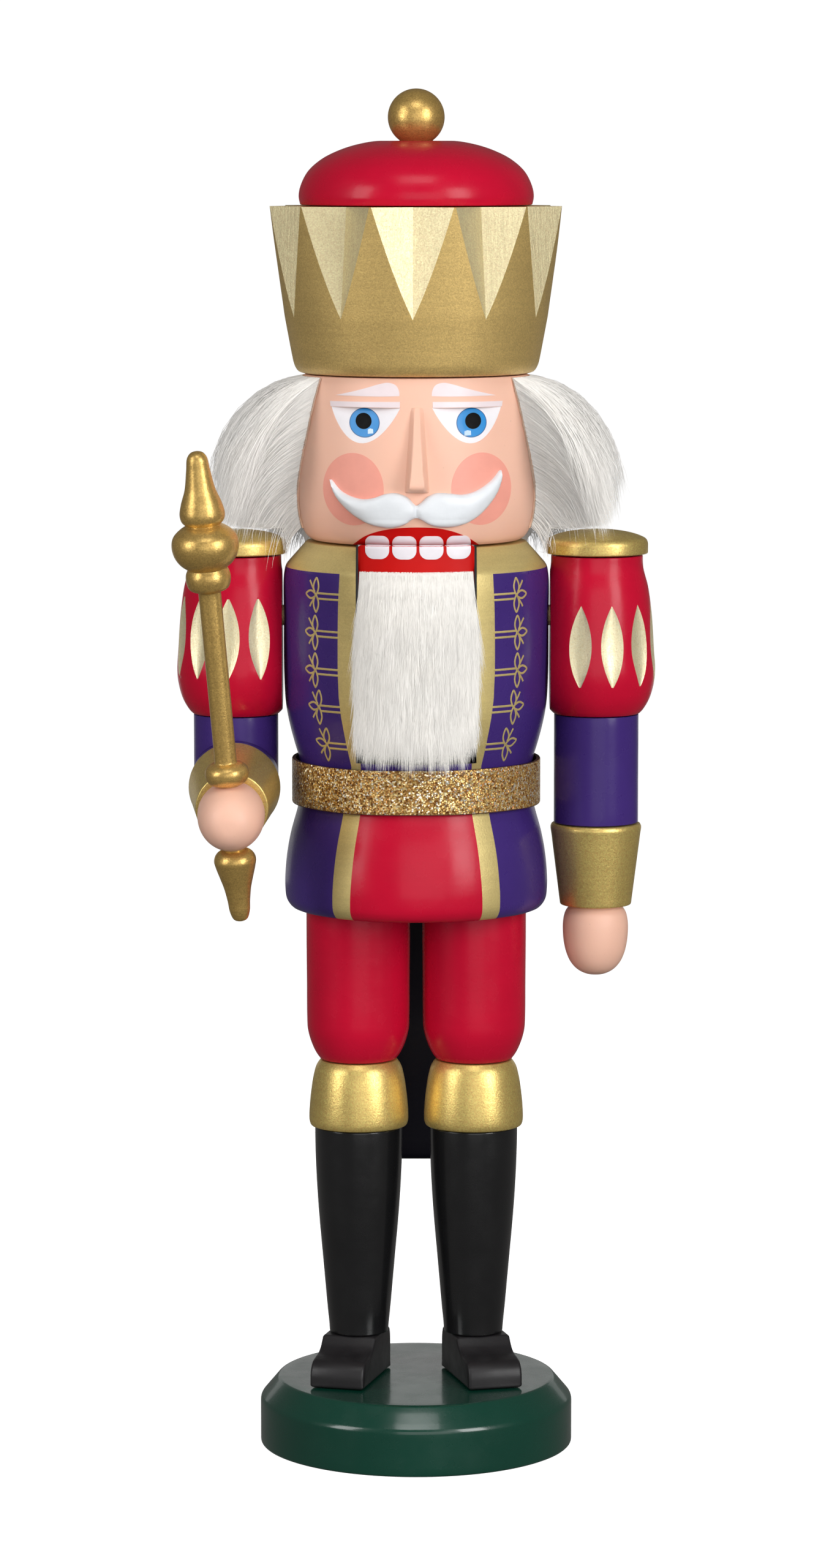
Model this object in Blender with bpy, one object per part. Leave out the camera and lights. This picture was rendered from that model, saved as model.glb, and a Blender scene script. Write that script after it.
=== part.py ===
"""A turned wooden nutcracker king: plinth, legs, slotted torso, jaw lever on a cross pin, arms, scepter, head and crown.

Frame: the origin is the centre of the plinth's underside, +Z is up, and the figure faces -Y. "left" and "right" are the
figure's own, so its left arm is at +X. Lengths in the tables are millimetres and are turned into metres as meshes are made.
"""

from math import atan2, cos, pi, radians, sin, sqrt

import bmesh
import bpy
from mathutils import Matrix, Vector

MM = 0.001
GAP = 0.3  # glue line left between two pieces that touch

# Driving dimensions, mm
BASE_R, BASE_H, BASE_EDGE = 46.3, 20.0, 13.5
BASE_TOP_R = 40.9
LEG_X, THIGH_X = 17.0, 17.1
SHOE_TOP, SHOE_W, SHOE_TURN = 33.0, 16.3, 14.5
BOOT_TOP, CUFF_TOP = 95.2, 115.2
SKIRT_Z, COLLAR_Z = 161.0, 268.9
SLOT_HALF, SLOT_FLOOR = 17.35, 206.8
LEVER_HALF = 16.7
PIN_Y, PIN_Z, PIN_R = 2.0, 215.0, 2.5
JAW_R, JAW_TOP = 36.0, 269.0
TAIL_BOTTOM, TAIL_FRONT, TAIL_BACK = 77.0, 39.7, 49.2
BELT_IN, BELT_OUT, BELT_LOW, BELT_HIGH = 35.3, 36.5, 192.2, 205.1
ARM_X, ARM_FLAT_X = 52.9, 39.2
ARM_R, SLEEVE_LOW, SLEEVE_TOP = 12.4, 218.2, 264.7
LEFT_CUFF_TOP, LEFT_CUFF_LOW = 186.0, 161.5
ELBOW_Z, ELBOW_DROP, ELBOW_RUN = 200.5, 8.5, 14.8
CUFF_LEN = 24.5
SCEPTER_LEAN = 4.7
HEAD_LOW, HEAD_TOP = 269.5, 317.6
EYE_AZ, EYE_LEDGE, EYE_DEPTH, EYE_R = 27.0, 309.2, 1.85, 33.65
EYE_SLOPE = 0.258  # how far the eye flat comes out for each mm down
CROWN_LOW, CROWN_TOP, NOTCH_Z, NOTCHES = 318.0, 366.2, 334.4, 11
CROWN_TIP_R, CROWN_VALLEY_R, CROWN_CONE_R = 42.7, 35.5, 38.3
CROWN_TURN = -1.5  # degrees the crown sits round from square
KNOB_R, KNOB_Z = 8.25, 391.75
DOWEL_R = 4.0

for old in list(bpy.data.objects):
    bpy.data.objects.remove(old, do_unlink=True)


# Materials and mesh helpers

def material(name, colour, roughness, metallic=0.0):
    m = bpy.data.materials.new(name)
    m.use_nodes = True
    p = m.node_tree.nodes["Principled BSDF"]
    p.inputs["Base Color"].default_value = (*colour, 1.0)
    p.inputs["Roughness"].default_value = roughness
    p.inputs["Metallic"].default_value = metallic
    m.diffuse_color = (*colour, 1.0)
    return m


GREEN = ((0.008, 0.045, 0.033), 0.30, 0.0)
CRIMSON = ((0.50, 0.012, 0.040), 0.34, 0.0)
PURPLE = ((0.055, 0.026, 0.160), 0.34, 0.0)
BLACK = ((0.006, 0.006, 0.007), 0.28, 0.0)
SHOE_BLACK = ((0.018, 0.016, 0.018), 0.45, 0.0)
GOLD = ((0.47, 0.33, 0.11), 0.38, 0.85)
SKIN = ((0.90, 0.55, 0.42), 0.50, 0.0)
RED = ((0.62, 0.010, 0.010), 0.36, 0.0)
WHITE = ((0.86, 0.86, 0.86), 0.40, 0.0)
FUR = ((0.88, 0.86, 0.82), 0.90, 0.0)
GLITTER = ((0.50, 0.33, 0.16), 0.55, 0.6)
WOOD = ((0.62, 0.44, 0.26), 0.65, 0.0)
STEEL = ((0.45, 0.45, 0.46), 0.35, 1.0)


def finish(bm, name, look, smooth=35.0):
    """Turn a bmesh in millimetres into a named object in metres with a material of its own."""
    bmesh.ops.remove_doubles(bm, verts=bm.verts, dist=1e-4)
    bmesh.ops.recalc_face_normals(bm, faces=bm.faces)
    bmesh.ops.scale(bm, vec=(MM, MM, MM), verts=bm.verts)
    mesh = bpy.data.meshes.new(name)
    bm.to_mesh(mesh)
    bm.free()
    mesh.shade_smooth()
    mesh.set_sharp_from_angle(angle=radians(smooth))
    ob = bpy.data.objects.new(name, mesh)
    bpy.context.scene.collection.objects.link(ob)
    if look:
        mesh.materials.append(material(name + "_paint", *look))
    return ob


def spin_points(bm, rings, count, placed, closed):
    """Rings of (r, z) become loops of vertices joined by quads; r of 0 is a single pole."""
    loops = []
    for r, z in rings:
        if r < 1e-6:
            loops.append([bm.verts.new(placed @ Vector((0, 0, z)))])
        else:
            loops.append(
                [bm.verts.new(placed @ Vector((r * cos(2 * pi * k / count), r * sin(2 * pi * k / count), z))) for k in range(count)]
            )
    pairs = list(zip(loops, loops[1:])) + ([(loops[-1], loops[0])] if closed else [])
    for a, b in pairs:
        if len(a) == 1 and len(b) == 1:
            continue
        for k in range(count):
            n = (k + 1) % count
            if len(a) == 1:
                bm.faces.new((a[0], b[k], b[n]))
            elif len(b) == 1:
                bm.faces.new((a[k], b[0], a[n]))
            else:
                bm.faces.new((a[k], b[k], b[n], a[n]))


def turned(name, rings, look, count=20, at=(0, 0, 0), turn=None, closed=False):
    """A turned piece from its profile. A closed profile is a ring with a hole down its axis."""
    bm = bmesh.new()
    placed = Matrix.Translation(Vector(at)) @ (turn or Matrix.Identity(4))
    spin_points(bm, rings, count, placed, closed)
    return finish(bm, name, look)


def extruded(name, outline, low, high, look, placed=None, stations=1):
    """A flat outline (u, v) in the YZ plane drawn out along X from low to high."""
    bm = bmesh.new()
    placed = placed or Matrix.Identity(4)
    rows = []
    for k in range(stations + 1):
        x = low + (high - low) * k / stations
        rows.append([bm.verts.new(placed @ Vector((x, u, v))) for u, v in outline])
    n = len(outline)
    for a, b in zip(rows, rows[1:]):
        for k in range(n):
            bm.faces.new((a[k], a[(k + 1) % n], b[(k + 1) % n], b[k]))
    bm.faces.new(rows[0])
    bm.faces.new(list(reversed(rows[-1])))
    return finish(bm, name, look)


def guide(ob):
    ob.hide_render = True
    ob.display_type = "WIRE"
    return ob


def rod_cutter(name, r, a, b, count=14):
    """A cylinder from point a to point b, used only to cut."""
    a, b = Vector(a), Vector(b)
    d = b - a
    placed = Matrix.Translation(a) @ d.to_track_quat("Z", "Y").to_matrix().to_4x4()
    bm = bmesh.new()
    spin_points(bm, [(0, 0), (r, 0), (r, d.length), (0, d.length)], count, placed, False)
    return guide(finish(bm, name, None))


def block_cutter(name, low, high, placed=None):
    outline = [(low[1], low[2]), (high[1], low[2]), (high[1], high[2]), (low[1], high[2])]
    return guide(extruded(name, outline, low[0], high[0], None, placed))


def cut(ob, cutter):
    m = ob.modifiers.new("cut_" + cutter.name, "BOOLEAN")
    m.operation = "DIFFERENCE"
    m.object = cutter
    m.solver = "EXACT"
    return ob


def rod(name, r, a, b, look, count=12):
    """A plain dowel or pin with its ends eased, from a to b."""
    a, b = Vector(a), Vector(b)
    d = b - a
    placed = Matrix.Translation(a) @ d.to_track_quat("Z", "Y").to_matrix().to_4x4()
    bm = bmesh.new()
    L, e = d.length, 0.5
    spin_points(bm, [(0, 0), (r - e, 0), (r, e), (r, L - e), (r - e, L), (0, L)], count, placed, False)
    return finish(bm, name, look)


SIDES = (("left", 1), ("right", -1))

# Plinth: a turned disc with a chamfered top edge, drilled for the ankle dowels
base = turned(
    "base_plate",
    [(0, BASE_H), (BASE_TOP_R, BASE_H), (BASE_R, BASE_EDGE), (BASE_R, 0.7), (BASE_R - 0.7, 0), (0, 0)],
    GREEN,
    count=48,
)
for side, s in SIDES:
    cut(base, rod_cutter(f"{side}_base_drill", DOWEL_R + GAP, (s * LEG_X, 0, 9.7), (s * LEG_X, 0, 24)))

# Legs: shoe block, boot, knee cuff and thigh, threaded on dowels
SHOE_OUTLINE = [
    (10.5, BASE_H + GAP),
    (10.5, 30.5),
    (9.3, SHOE_TOP),
    (-8.2, SHOE_TOP),
    (-10.2, 30.6),
    (-13.2, 28.9),
    (-17.2, 28.3),
    (-20.0, 27.3),
    (-21.6, 25.0),
    (-22.0, 22.6),
    (-21.6, BASE_H + GAP),
]
BOOT = [(8.85, 39.0), (9.4, 44.0), (10.1, 50.5), (10.85, 58.5), (11.65, 67.0), (12.3, 76.0), (12.7, 84.5), (12.95, 92.4)]
for side, s in SIDES:
    x = s * LEG_X
    turn = Matrix.Translation((s * 17.5, 2.0, 0)) @ Matrix.Rotation(radians(s * SHOE_TURN), 4, "Z") @ Matrix.Translation((0, -2.0, 0))
    shoe = extruded(f"{side}_shoe", SHOE_OUTLINE, -SHOE_W / 2, SHOE_W / 2, SHOE_BLACK, turn)
    cut(shoe, rod_cutter(f"{side}_shoe_drill", DOWEL_R + GAP, (x, 0, 12), (x, 0, 40)))
    low = SHOE_TOP + GAP
    turned(
        f"{side}_boot",
        [(0, 74.7), (DOWEL_R + GAP, 74.7), (DOWEL_R + GAP, BOOT_TOP), (12.95, BOOT_TOP)]
        + list(reversed(BOOT))
        + [(8.6, low), (DOWEL_R + GAP, low), (DOWEL_R + GAP, 50.3), (0, 50.3)],
        BLACK,
        at=(x, 0, 0),
    )
    turned(
        f"{side}_knee_cuff",
        [
            (DOWEL_R + GAP, CUFF_TOP),
            (11.4, CUFF_TOP),
            (12.45, 113.4),
            (13.4, 109.9),
            (14.0, 106.2),
            (14.4, 102.6),
            (14.65, 98.9),
            (14.6, 96.4),
            (14.1, BOOT_TOP + GAP),
            (DOWEL_R + GAP, BOOT_TOP + GAP),
        ],
        GOLD,
        at=(x, 0, 0),
        closed=True,
    )
    low, top = CUFF_TOP + GAP, SKIRT_Z - GAP
    turned(
        f"{side}_thigh",
        [
            (0, 144.7),
            (DOWEL_R + GAP, 144.7),
            (DOWEL_R + GAP, top),
            (15.3, top),
            (15.25, 145.0),
            (15.15, 128.0),
            (14.9, 124.4),
            (14.0, 120.8),
            (12.4, 117.2),
            (11.2, low),
            (DOWEL_R + GAP, low),
            (DOWEL_R + GAP, 135.3),
            (0, 135.3),
        ],
        CRIMSON,
        at=(s * THIGH_X, 0, 0),
    )
    rod(f"{side}_ankle_dowel", DOWEL_R, (x, 0, 10), (x, 0, 50), WOOD)
    rod(f"{side}_knee_dowel", DOWEL_R, (x, 0, 75), (x, 0, 135), WOOD)
    rod(f"{side}_hip_dowel", DOWEL_R, (s * THIGH_X, 0, 145), (s * THIGH_X, 0, 178), WOOD)

# Torso: one turned piece with the coat skirt, slotted for the jaw lever
TORSO = [
    (0, COLLAR_Z),
    (32.1, COLLAR_Z),
    (38.2, 262.0),
    (38.75, 260.8),
    (38.8, 247.0),
    (38.7, 229.0),
    (38.2, 221.0),
    (37.1, 215.0),
    (35.6, 209.3),
    (34.2, 204.5),
    (33.6, 199.0),
    (33.9, 194.5),
    (35.0, 189.8),
    (36.8, 183.3),
    (37.9, 177.5),
    (38.5, 171.6),
    (38.6, 167.0),
    (38.1, 163.6),
    (36.9, 161.6),
    (35.3, SKIRT_Z),
    (0, SKIRT_Z),
]
torso = turned("torso", TORSO, PURPLE, count=36)
cut(torso, block_cutter("slot_saw", (-SLOT_HALF, -55, SLOT_FLOOR), (SLOT_HALF, 55, 280)))
cut(torso, rod_cutter("pin_drill", PIN_R + GAP, (-60, PIN_Y, PIN_Z), (60, PIN_Y, PIN_Z)))
NECK_X, NECK_R = 24.5, 2.5
for side, s in SIDES:
    cut(torso, rod_cutter(f"{side}_neck_drill", NECK_R + GAP, (s * NECK_X, 0, 254.7), (s * NECK_X, 0, 275), 14))
    cut(torso, rod_cutter(f"{side}_arm_drill", 3.0 + GAP, (s * 26.7, 0, 247), (s * 45, 0, 247), 14))
    cut(torso, rod_cutter(f"{side}_hip_drill", DOWEL_R + GAP, (s * THIGH_X, 0, 155), (s * THIGH_X, 0, 178.3)))
    rod(f"{side}_neck_dowel", NECK_R, (s * NECK_X, 0, 255), (s * NECK_X, 0, 282), WOOD, 12)
    rod(f"{side}_arm_dowel", 3.0, (s * 27, 0, 247), (s * 51, 0, 247), WOOD, 12)

# Belt: a strip round the hollow waist
turned(
    "belt",
    [(BELT_IN, BELT_HIGH), (BELT_OUT, BELT_HIGH), (BELT_OUT, BELT_LOW), (BELT_IN, BELT_LOW)],
    GLITTER,
    count=40,
    closed=True,
)

# Jaw lever: a cranked board whose front is turned with the torso and whose top is hollowed behind the jaw for a nut
LEVER = [
    # (y, z, how much the point follows the curve of the front)
    (-JAW_R, JAW_TOP, 1),
    (-28.0, JAW_TOP, 1),
    (-26.3, 266.0, 0),
    (-23.5, 252.0, 0),
    (-17.0, 241.0, 0),
    (-8.0, 234.0, 0),
    (4.0, 231.0, 0),
    (20.0, 230.5, 0),
    (40.0, 230.5, 0),
    (45.5, 229.0, 0),
    (48.4, 225.0, 0),
    (TAIL_BACK, 219.0, 0),
    (TAIL_BACK, 80.5, 0),
    (47.0, TAIL_BOTTOM, 0),
    (42.0, TAIL_BOTTOM, 0),
    (TAIL_FRONT, 79.5, 0),
    (TAIL_FRONT, 205.5, 0),
    (37.5, 207.8, 0),
    (3.0, 207.8, 0),
    (-2.0, 208.8, 0),
    (-8.0, 211.4, 0),
    (-14.0, 214.2, 0),
    (-24.0, 219.2, 0),
    (-JAW_R, 225.0, 1),
]


def jaw_lever():
    bm = bmesh.new()
    stations, rows = 10, []
    for k in range(stations + 1):
        x = -LEVER_HALF + 2 * LEVER_HALF * k / stations
        lift = JAW_R - sqrt(JAW_R**2 - x * x)
        rows.append([bm.verts.new((x, y + lift * c, z)) for y, z, c in LEVER])
    n = len(LEVER)
    for a, b in zip(rows, rows[1:]):
        for k in range(n):
            bm.faces.new((a[k], a[(k + 1) % n], b[(k + 1) % n], b[k]))
    bm.faces.new(rows[0])
    bm.faces.new(list(reversed(rows[-1])))
    bmesh.ops.triangulate(bm, faces=[f for f in bm.faces if len(f.verts) == 4 and not_flat(f)])
    return finish(bm, "jaw_lever", RED)


def not_flat(face):
    """A quad whose corners leave its plane, so it has to be two triangles."""
    a, b, c, d = (v.co for v in face.verts)
    n = (b - a).cross(c - a)
    return n.length > 1e-9 and abs(n.normalized().dot(d - a)) > 1e-4


lever = jaw_lever()
cut(lever, rod_cutter("lever_drill", PIN_R + GAP, (-30, PIN_Y, PIN_Z), (30, PIN_Y, PIN_Z)))
rod("lever_pin", PIN_R, (-35.6, PIN_Y, PIN_Z), (35.6, PIN_Y, PIN_Z), STEEL, 14)

# Beard: the body of the fur strip on the jaw front. Each row is z, half width, inner radius at the middle, outer depth
BEARD = [
    (262.6, 14.6, 36.4, 41.0),
    (255.0, 16.4, 36.4, 45.6),
    (240.0, 16.9, 36.5, 48.2),
    (226.0, 16.9, 37.4, 48.8),
    (216.0, 16.2, 40.8, 48.4),
    (209.0, 12.6, 43.2, 47.0),
]


def beard():
    bm = bmesh.new()
    across = 8
    inner, outer = [], []
    for z, half, near, far in BEARD:
        a, b = [], []
        for k in range(across + 1):
            u = -1 + 2 * k / across
            x = half * u
            y = -(sqrt(near**2 - x * x))
            a.append(bm.verts.new((x, y, z)))
            bulge = (far - near) * (1 - 0.72 * u * u)
            b.append(bm.verts.new((x, y - bulge, z)))
        inner.append(a)
        outer.append(b)
    for grid in (inner, outer):
        for a, b in zip(grid, grid[1:]):
            for k in range(across):
                bm.faces.new((a[k], a[k + 1], b[k + 1], b[k]))
    for row in (0, -1):
        for k in range(across):
            bm.faces.new((inner[row][k], inner[row][k + 1], outer[row][k + 1], outer[row][k]))
    for side in (0, -1):
        for k in range(len(BEARD) - 1):
            bm.faces.new((inner[k][side], inner[k + 1][side], outer[k + 1][side], outer[k][side]))
    bmesh.ops.triangulate(bm, faces=[f for f in bm.faces if not_flat(f)])
    return finish(bm, "beard", FUR)


beard()

# Arms: shoulder cap, sleeve with a flat towards the torso, forearm with a tenon, cone cuff and hand with a tenon
SLEEVE = [
    (13.2, SLEEVE_TOP),
    (13.6, 261.0),
    (15.0, 255.5),
    (15.9, 249.5),
    (16.4, 243.5),
    (16.8, 236.0),
    (17.2, 230.5),
    (16.7, 226.5),
    (15.4, 222.3),
    (13.4, 218.9),
    (12.8, SLEEVE_LOW),
]
HAND = [(9.2, 3.0), (9.6, 7.4), (9.45, 11.0), (8.7, 14.6), (7.15, 17.6), (4.6, 19.9), (2.0, 20.8)]  # radius, distance from the cuff
TENON, BORE = 4.0, 4.0 + GAP


def hand_rings(end):
    """The egg of a hand below a tenon, z measured down from the cuff's edge at end."""
    return (
        [(0, end + 34), (TENON, end + 34), (TENON, end - GAP), (7.6, end - GAP)]
        + [(r, end - t) for r, t in HAND]
        + [(0, end - 21.0)]
    )


def cone_cuff_rings(top, low):
    return [
        (BORE, top - GAP),
        (13.0, top - GAP),
        (13.3, top - 0.8),
        (13.2, top - 1.8),
        (10.75, low + 0.8),
        (10.4, low),
        (BORE, low),
    ]


for side, s in SIDES:
    x = s * ARM_X
    turned(
        f"{side}_shoulder_cap",
        [
            (0, 272.3),
            (5.5, 272.0),
            (10.5, 271.0),
            (14.0, 269.6),
            (14.9, 268.8),
            (14.9, 265.6),
            (14.5, 265.0),
            (TENON, 265.0),
            (TENON, 257.0),
            (0, 257.0),
        ],
        GOLD,
        at=(x, 0, 0),
    )
    sleeve = turned(
        f"{side}_sleeve",
        [(0, 256.7), (BORE, 256.7), (BORE, SLEEVE_TOP)] + SLEEVE + [(BORE, SLEEVE_LOW), (BORE, 236.3), (0, 236.3)],
        CRIMSON,
        count=22,
        at=(x, 0, 0),
    )
    near, far = sorted((s * 20.0, s * ARM_FLAT_X))
    cut(sleeve, block_cutter(f"{side}_sleeve_saw", (near, -30, 200), (far, 30, 280)))
    cut(sleeve, rod_cutter(f"{side}_sleeve_drill", 3.0 + GAP, (s * 30, 0, 247), (s * 51.3, 0, 247), 14))

# Left arm hangs straight
x = ARM_X
turned(
    "left_forearm",
    [
        (0, 236.0),
        (TENON, 236.0),
        (TENON, SLEEVE_LOW - GAP),
        (ARM_R, SLEEVE_LOW - GAP),
        (ARM_R, LEFT_CUFF_TOP),
        (BORE, LEFT_CUFF_TOP),
        (BORE, 196.0),
        (0, 196.0),
    ],
    PURPLE,
    at=(x, 0, 0),
)
turned("left_cuff", cone_cuff_rings(LEFT_CUFF_TOP, LEFT_CUFF_LOW), GOLD, at=(x, 0, 0), closed=True)
turned("left_hand", hand_rings(LEFT_CUFF_LOW), SKIN, at=(x, 0, 0))

# Right arm is cut at the elbow and glued forward: both halves end on the plane that halves the bend
elbow = Vector((-ARM_X, 0, ELBOW_Z))
forward = Vector((0, -cos(radians(ELBOW_DROP)), -sin(radians(ELBOW_DROP))))
upward = Vector((0, 0, 1))
mitre_normal = (upward - forward).normalized()
mitre = Matrix.Translation(elbow) @ mitre_normal.to_track_quat("Z", "X").to_matrix().to_4x4()
upper = turned(
    "right_forearm",
    [
        (0, 236.0),
        (TENON, 236.0),
        (TENON, SLEEVE_LOW - GAP),
        (ARM_R, SLEEVE_LOW - GAP),
        (ARM_R, ELBOW_Z - 20),
        (0, ELBOW_Z - 20),
    ],
    PURPLE,
    at=(-ARM_X, 0, 0),
)
cut(upper, block_cutter("upper_mitre_saw", (-60, -60, -60), (60, 60, GAP / 2), mitre))
# The local z of this frame runs back along the forearm, so the cuff and hand lie at negative z as on the left arm
along = Matrix.Translation(elbow) @ (-forward).to_track_quat("Z", "X").to_matrix().to_4x4()
lower = turned(
    "right_elbow",
    [(0, 20), (ARM_R, 20), (ARM_R, -ELBOW_RUN), (BORE, -ELBOW_RUN), (BORE, -ELBOW_RUN + 10.0), (0, -ELBOW_RUN + 10.0)],
    PURPLE,
    turn=along,
)
cut(lower, block_cutter("lower_mitre_saw", (-60, -60, -GAP / 2), (60, 60, 60), mitre))
cuff_end = -ELBOW_RUN - CUFF_LEN
turned("right_cuff", cone_cuff_rings(-ELBOW_RUN, cuff_end), GOLD, turn=along, closed=True)
hand = turned("right_hand", hand_rings(cuff_end), SKIN, turn=along)

# Scepter: square to the forearm and leaning outward, its spigot through the hand into the drop below
grip = along @ Vector((0, 0, cuff_end - 8.4))
staff_up = Vector((0, -sin(radians(ELBOW_DROP)), cos(radians(ELBOW_DROP))))
staff = (cos(radians(SCEPTER_LEAN)) * staff_up + sin(radians(SCEPTER_LEAN)) * Vector((-1, 0, 0))).normalized()
held = Matrix.Translation(grip) @ staff.to_track_quat("Z", "Y").to_matrix().to_4x4()
SPIGOT = 3.0
cut(hand, rod_cutter("grip_drill", SPIGOT + GAP, grip - staff * 20, grip + staff * 20))
SCEPTER = [
    (0, 106.8),
    (1.7, 106.3),
    (2.8, 104.9),
    (3.35, 101.5),
    (4.4, 95.8),
    (5.8, 91.8),
    (6.4, 88.7),
    (6.0, 86.9),
    (4.9, 85.6),
    (6.9, 84.2),
    (8.9, 82.3),
    (9.5, 79.8),
    (9.0, 77.0),
    (7.6, 74.6),
    (5.7, 73.0),
    (6.2, 71.0),
    (6.2, 68.8),
    (5.2, 66.8),
    (3.15, 66.1),
    (3.15, 16.1),
    (5.0, 15.3),
    (6.2, 13.6),
    (6.2, 11.8),
    (5.1, 10.3),
    (SPIGOT, 10.1),
    (SPIGOT, -16.0),
    (0, -16.0),
]
FINIAL = [
    (SPIGOT + GAP, -10.1),
    (4.4, -10.1),
    (5.6, -11.2),
    (6.05, -12.8),
    (5.6, -15.0),
    (4.8, -17.8),
    (3.9, -21.0),
    (3.2, -25.0),
    (2.85, -28.6),
    (1.9, -30.7),
    (0, -31.3),
    (0, -16.3),
    (SPIGOT + GAP, -16.3),
]
turned("scepter", SCEPTER, GOLD, count=12, turn=held)


def finial():
    bm = bmesh.new()
    spin_points(bm, [(0, -16.3), (SPIGOT + GAP, -16.3)] + FINIAL[:11], 12, held, False)
    return finish(bm, "scepter_finial", GOLD)


finial()

# Head: turned, with a tenon into the crown and a sawn flat for each eye
HEAD = [
    (32.6, HEAD_TOP),
    (33.6, 310.0),
    (34.3, 301.0),
    (34.8, 291.5),
    (35.0, 284.0),
    (34.6, 278.0),
    (33.2, 273.0),
    (32.0, 270.7),
    (30.4, HEAD_LOW),
]
HEAD_TENON = 8.0
head = turned(
    "head",
    [(0, 329.0), (HEAD_TENON, 329.0), (HEAD_TENON, HEAD_TOP)] + HEAD + [(0, HEAD_LOW)],
    SKIN,
    count=36,
)
for side, s in SIDES:
    # A wedge whose sloping face dips under a level ledge; its local -Y points out of the face at the eye
    r = EYE_R
    near = r - EYE_DEPTH
    wedge = [(-near, EYE_LEDGE), (-(r + 12), EYE_LEDGE), (-(r + 12), EYE_LEDGE - 18), (-(near + 17 * EYE_SLOPE), EYE_LEDGE - 17)]
    tool = extruded(f"{side}_eye_saw", wedge, -16, 16, None, Matrix.Rotation(radians(s * EYE_AZ), 4, "Z"))
    cut(head, guide(tool))
    cut(head, rod_cutter(f"{side}_neck_bore", NECK_R + GAP, (s * NECK_X, 0, 262), (s * NECK_X, 0, 282.3), 14))


def wrap(name, rows, look, depth):
    """A closed strip on the head's front. Rows give x, low z, high z, inner radius and thickness."""
    bm = bmesh.new()
    loops = []
    for x, low, high, near, thick in rows:
        a = atan2(x, -sqrt(near**2 - x * x))
        spots = []
        for r, z in ((near, low), (near + thick * depth, low + 0.25 * (high - low)), (near + thick, 0.5 * (low + high)), (near + thick * depth, high - 0.25 * (high - low)), (near, high)):
            spots.append(bm.verts.new((r * sin(a), r * cos(a), z)))
        loops.append(spots)
    n = 5
    for a, b in zip(loops, loops[1:]):
        for k in range(n):
            bm.faces.new((a[k], a[(k + 1) % n], b[(k + 1) % n], b[k]))
    bm.faces.new(loops[0])
    bm.faces.new(list(reversed(loops[-1])))
    bmesh.ops.triangulate(bm, faces=list(bm.faces))
    return finish(bm, name, look)


# Moustache: two lobes with rising tips; x, low z, high z, head radius there plus the glue line, thickness
MOUSTACHE = []
for x, low, high, thick in (
    (-24.3, 286.6, 287.8, 0.5),
    (-22.0, 281.2, 284.6, 1.3),
    (-18.5, 277.6, 283.6, 2.0),
    (-14.0, 275.8, 283.4, 2.6),
    (-9.0, 275.0, 284.4, 3.0),
    (-4.6, 275.0, 284.6, 3.0),
    (-1.6, 276.3, 282.7, 2.3),
    (0.0, 277.8, 281.4, 1.6),
    (1.6, 276.3, 282.7, 2.3),
    (4.6, 275.0, 284.6, 3.0),
    (9.0, 275.0, 284.6, 3.0),
    (14.0, 275.8, 284.2, 2.6),
    (18.5, 277.8, 284.6, 2.0),
    (22.0, 282.2, 287.0, 1.3),
    (24.3, 288.4, 290.0, 0.5),
):
    MOUSTACHE.append((x, low, high, 35.3, thick))
wrap("moustache", MOUSTACHE, WHITE, 0.8)


def nose():
    """A wedge that grows downward, with a flat ridge. Rows are z, half width at the face, half width of the ridge, reach."""
    bm = bmesh.new()
    rows = []
    for z, base_half, ridge_half, near, far in (
        (308.6, 2.1, 0.9, 34.1, 34.9),
        (303.0, 2.4, 1.0, 34.4, 36.6),
        (294.0, 3.0, 1.6, 34.9, 39.0),
        (286.9, 3.4, 2.3, 35.3, 41.4),
        (285.5, 3.5, 2.2, 35.3, 39.5),
    ):
        edge = sqrt(near**2 - base_half**2)
        rows.append(
            [
                bm.verts.new((-base_half, -edge, z)),
                bm.verts.new((-ridge_half, -far, z)),
                bm.verts.new((ridge_half, -far, z)),
                bm.verts.new((base_half, -edge, z)),
                bm.verts.new((0, -near, z)),
            ]
        )
    for a, b in zip(rows, rows[1:]):
        for k in range(5):
            bm.faces.new((a[k], a[(k + 1) % 5], b[(k + 1) % 5], b[k]))
    bm.faces.new(rows[0])
    bm.faces.new(list(reversed(rows[-1])))
    bmesh.ops.triangulate(bm, faces=list(bm.faces))
    return finish(bm, "nose", SKIN)


nose()

# Hair: the body of the fur round the sides and back; it is open at the face. Profile (r, z), clockwise from the crown
HAIR = [
    (35.4, 317.4),
    (38.5, 317.0),
    (46.0, 310.5),
    (53.5, 301.0),
    (57.5, 291.5),
    (56.5, 282.5),
    (50.0, 275.2),
    (42.0, 273.2),
    (36.2, 273.2),
    (35.5, 284.0),
]
HAIR_FRONT = 66.0  # degrees from straight ahead to the fur's front edge


def hair():
    bm = bmesh.new()
    steps, loops = 18, []
    for k in range(steps + 1):
        az = HAIR_FRONT + (360 - 2 * HAIR_FRONT) * k / steps
        a = radians(az)
        ease = min(1.0, 0.42 + 0.58 * min(az - HAIR_FRONT, 360 - HAIR_FRONT - az) / 22.0)
        loops.append([bm.verts.new(((35.5 + (r - 35.5) * ease) * sin(a), -(35.5 + (r - 35.5) * ease) * cos(a), z)) for r, z in HAIR])
    n = len(HAIR)
    for a, b in zip(loops, loops[1:]):
        for k in range(n):
            bm.faces.new((a[k], a[(k + 1) % n], b[(k + 1) % n], b[k]))
    bm.faces.new(loops[0])
    bm.faces.new(list(reversed(loops[-1])))
    bmesh.ops.triangulate(bm, faces=[f for f in bm.faces if len(f.verts) == 4 and not_flat(f)])
    return finish(bm, "hair", FUR)


hair()

# Crown: a cone with eleven V notches sawn into its wall, a notch in the middle of the front
CROWN_LOWER = [(36.8, 326.6), (36.0, 322.4), (35.5, 320.2), (34.7, 318.7), (33.4, CROWN_LOW)]


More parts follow.
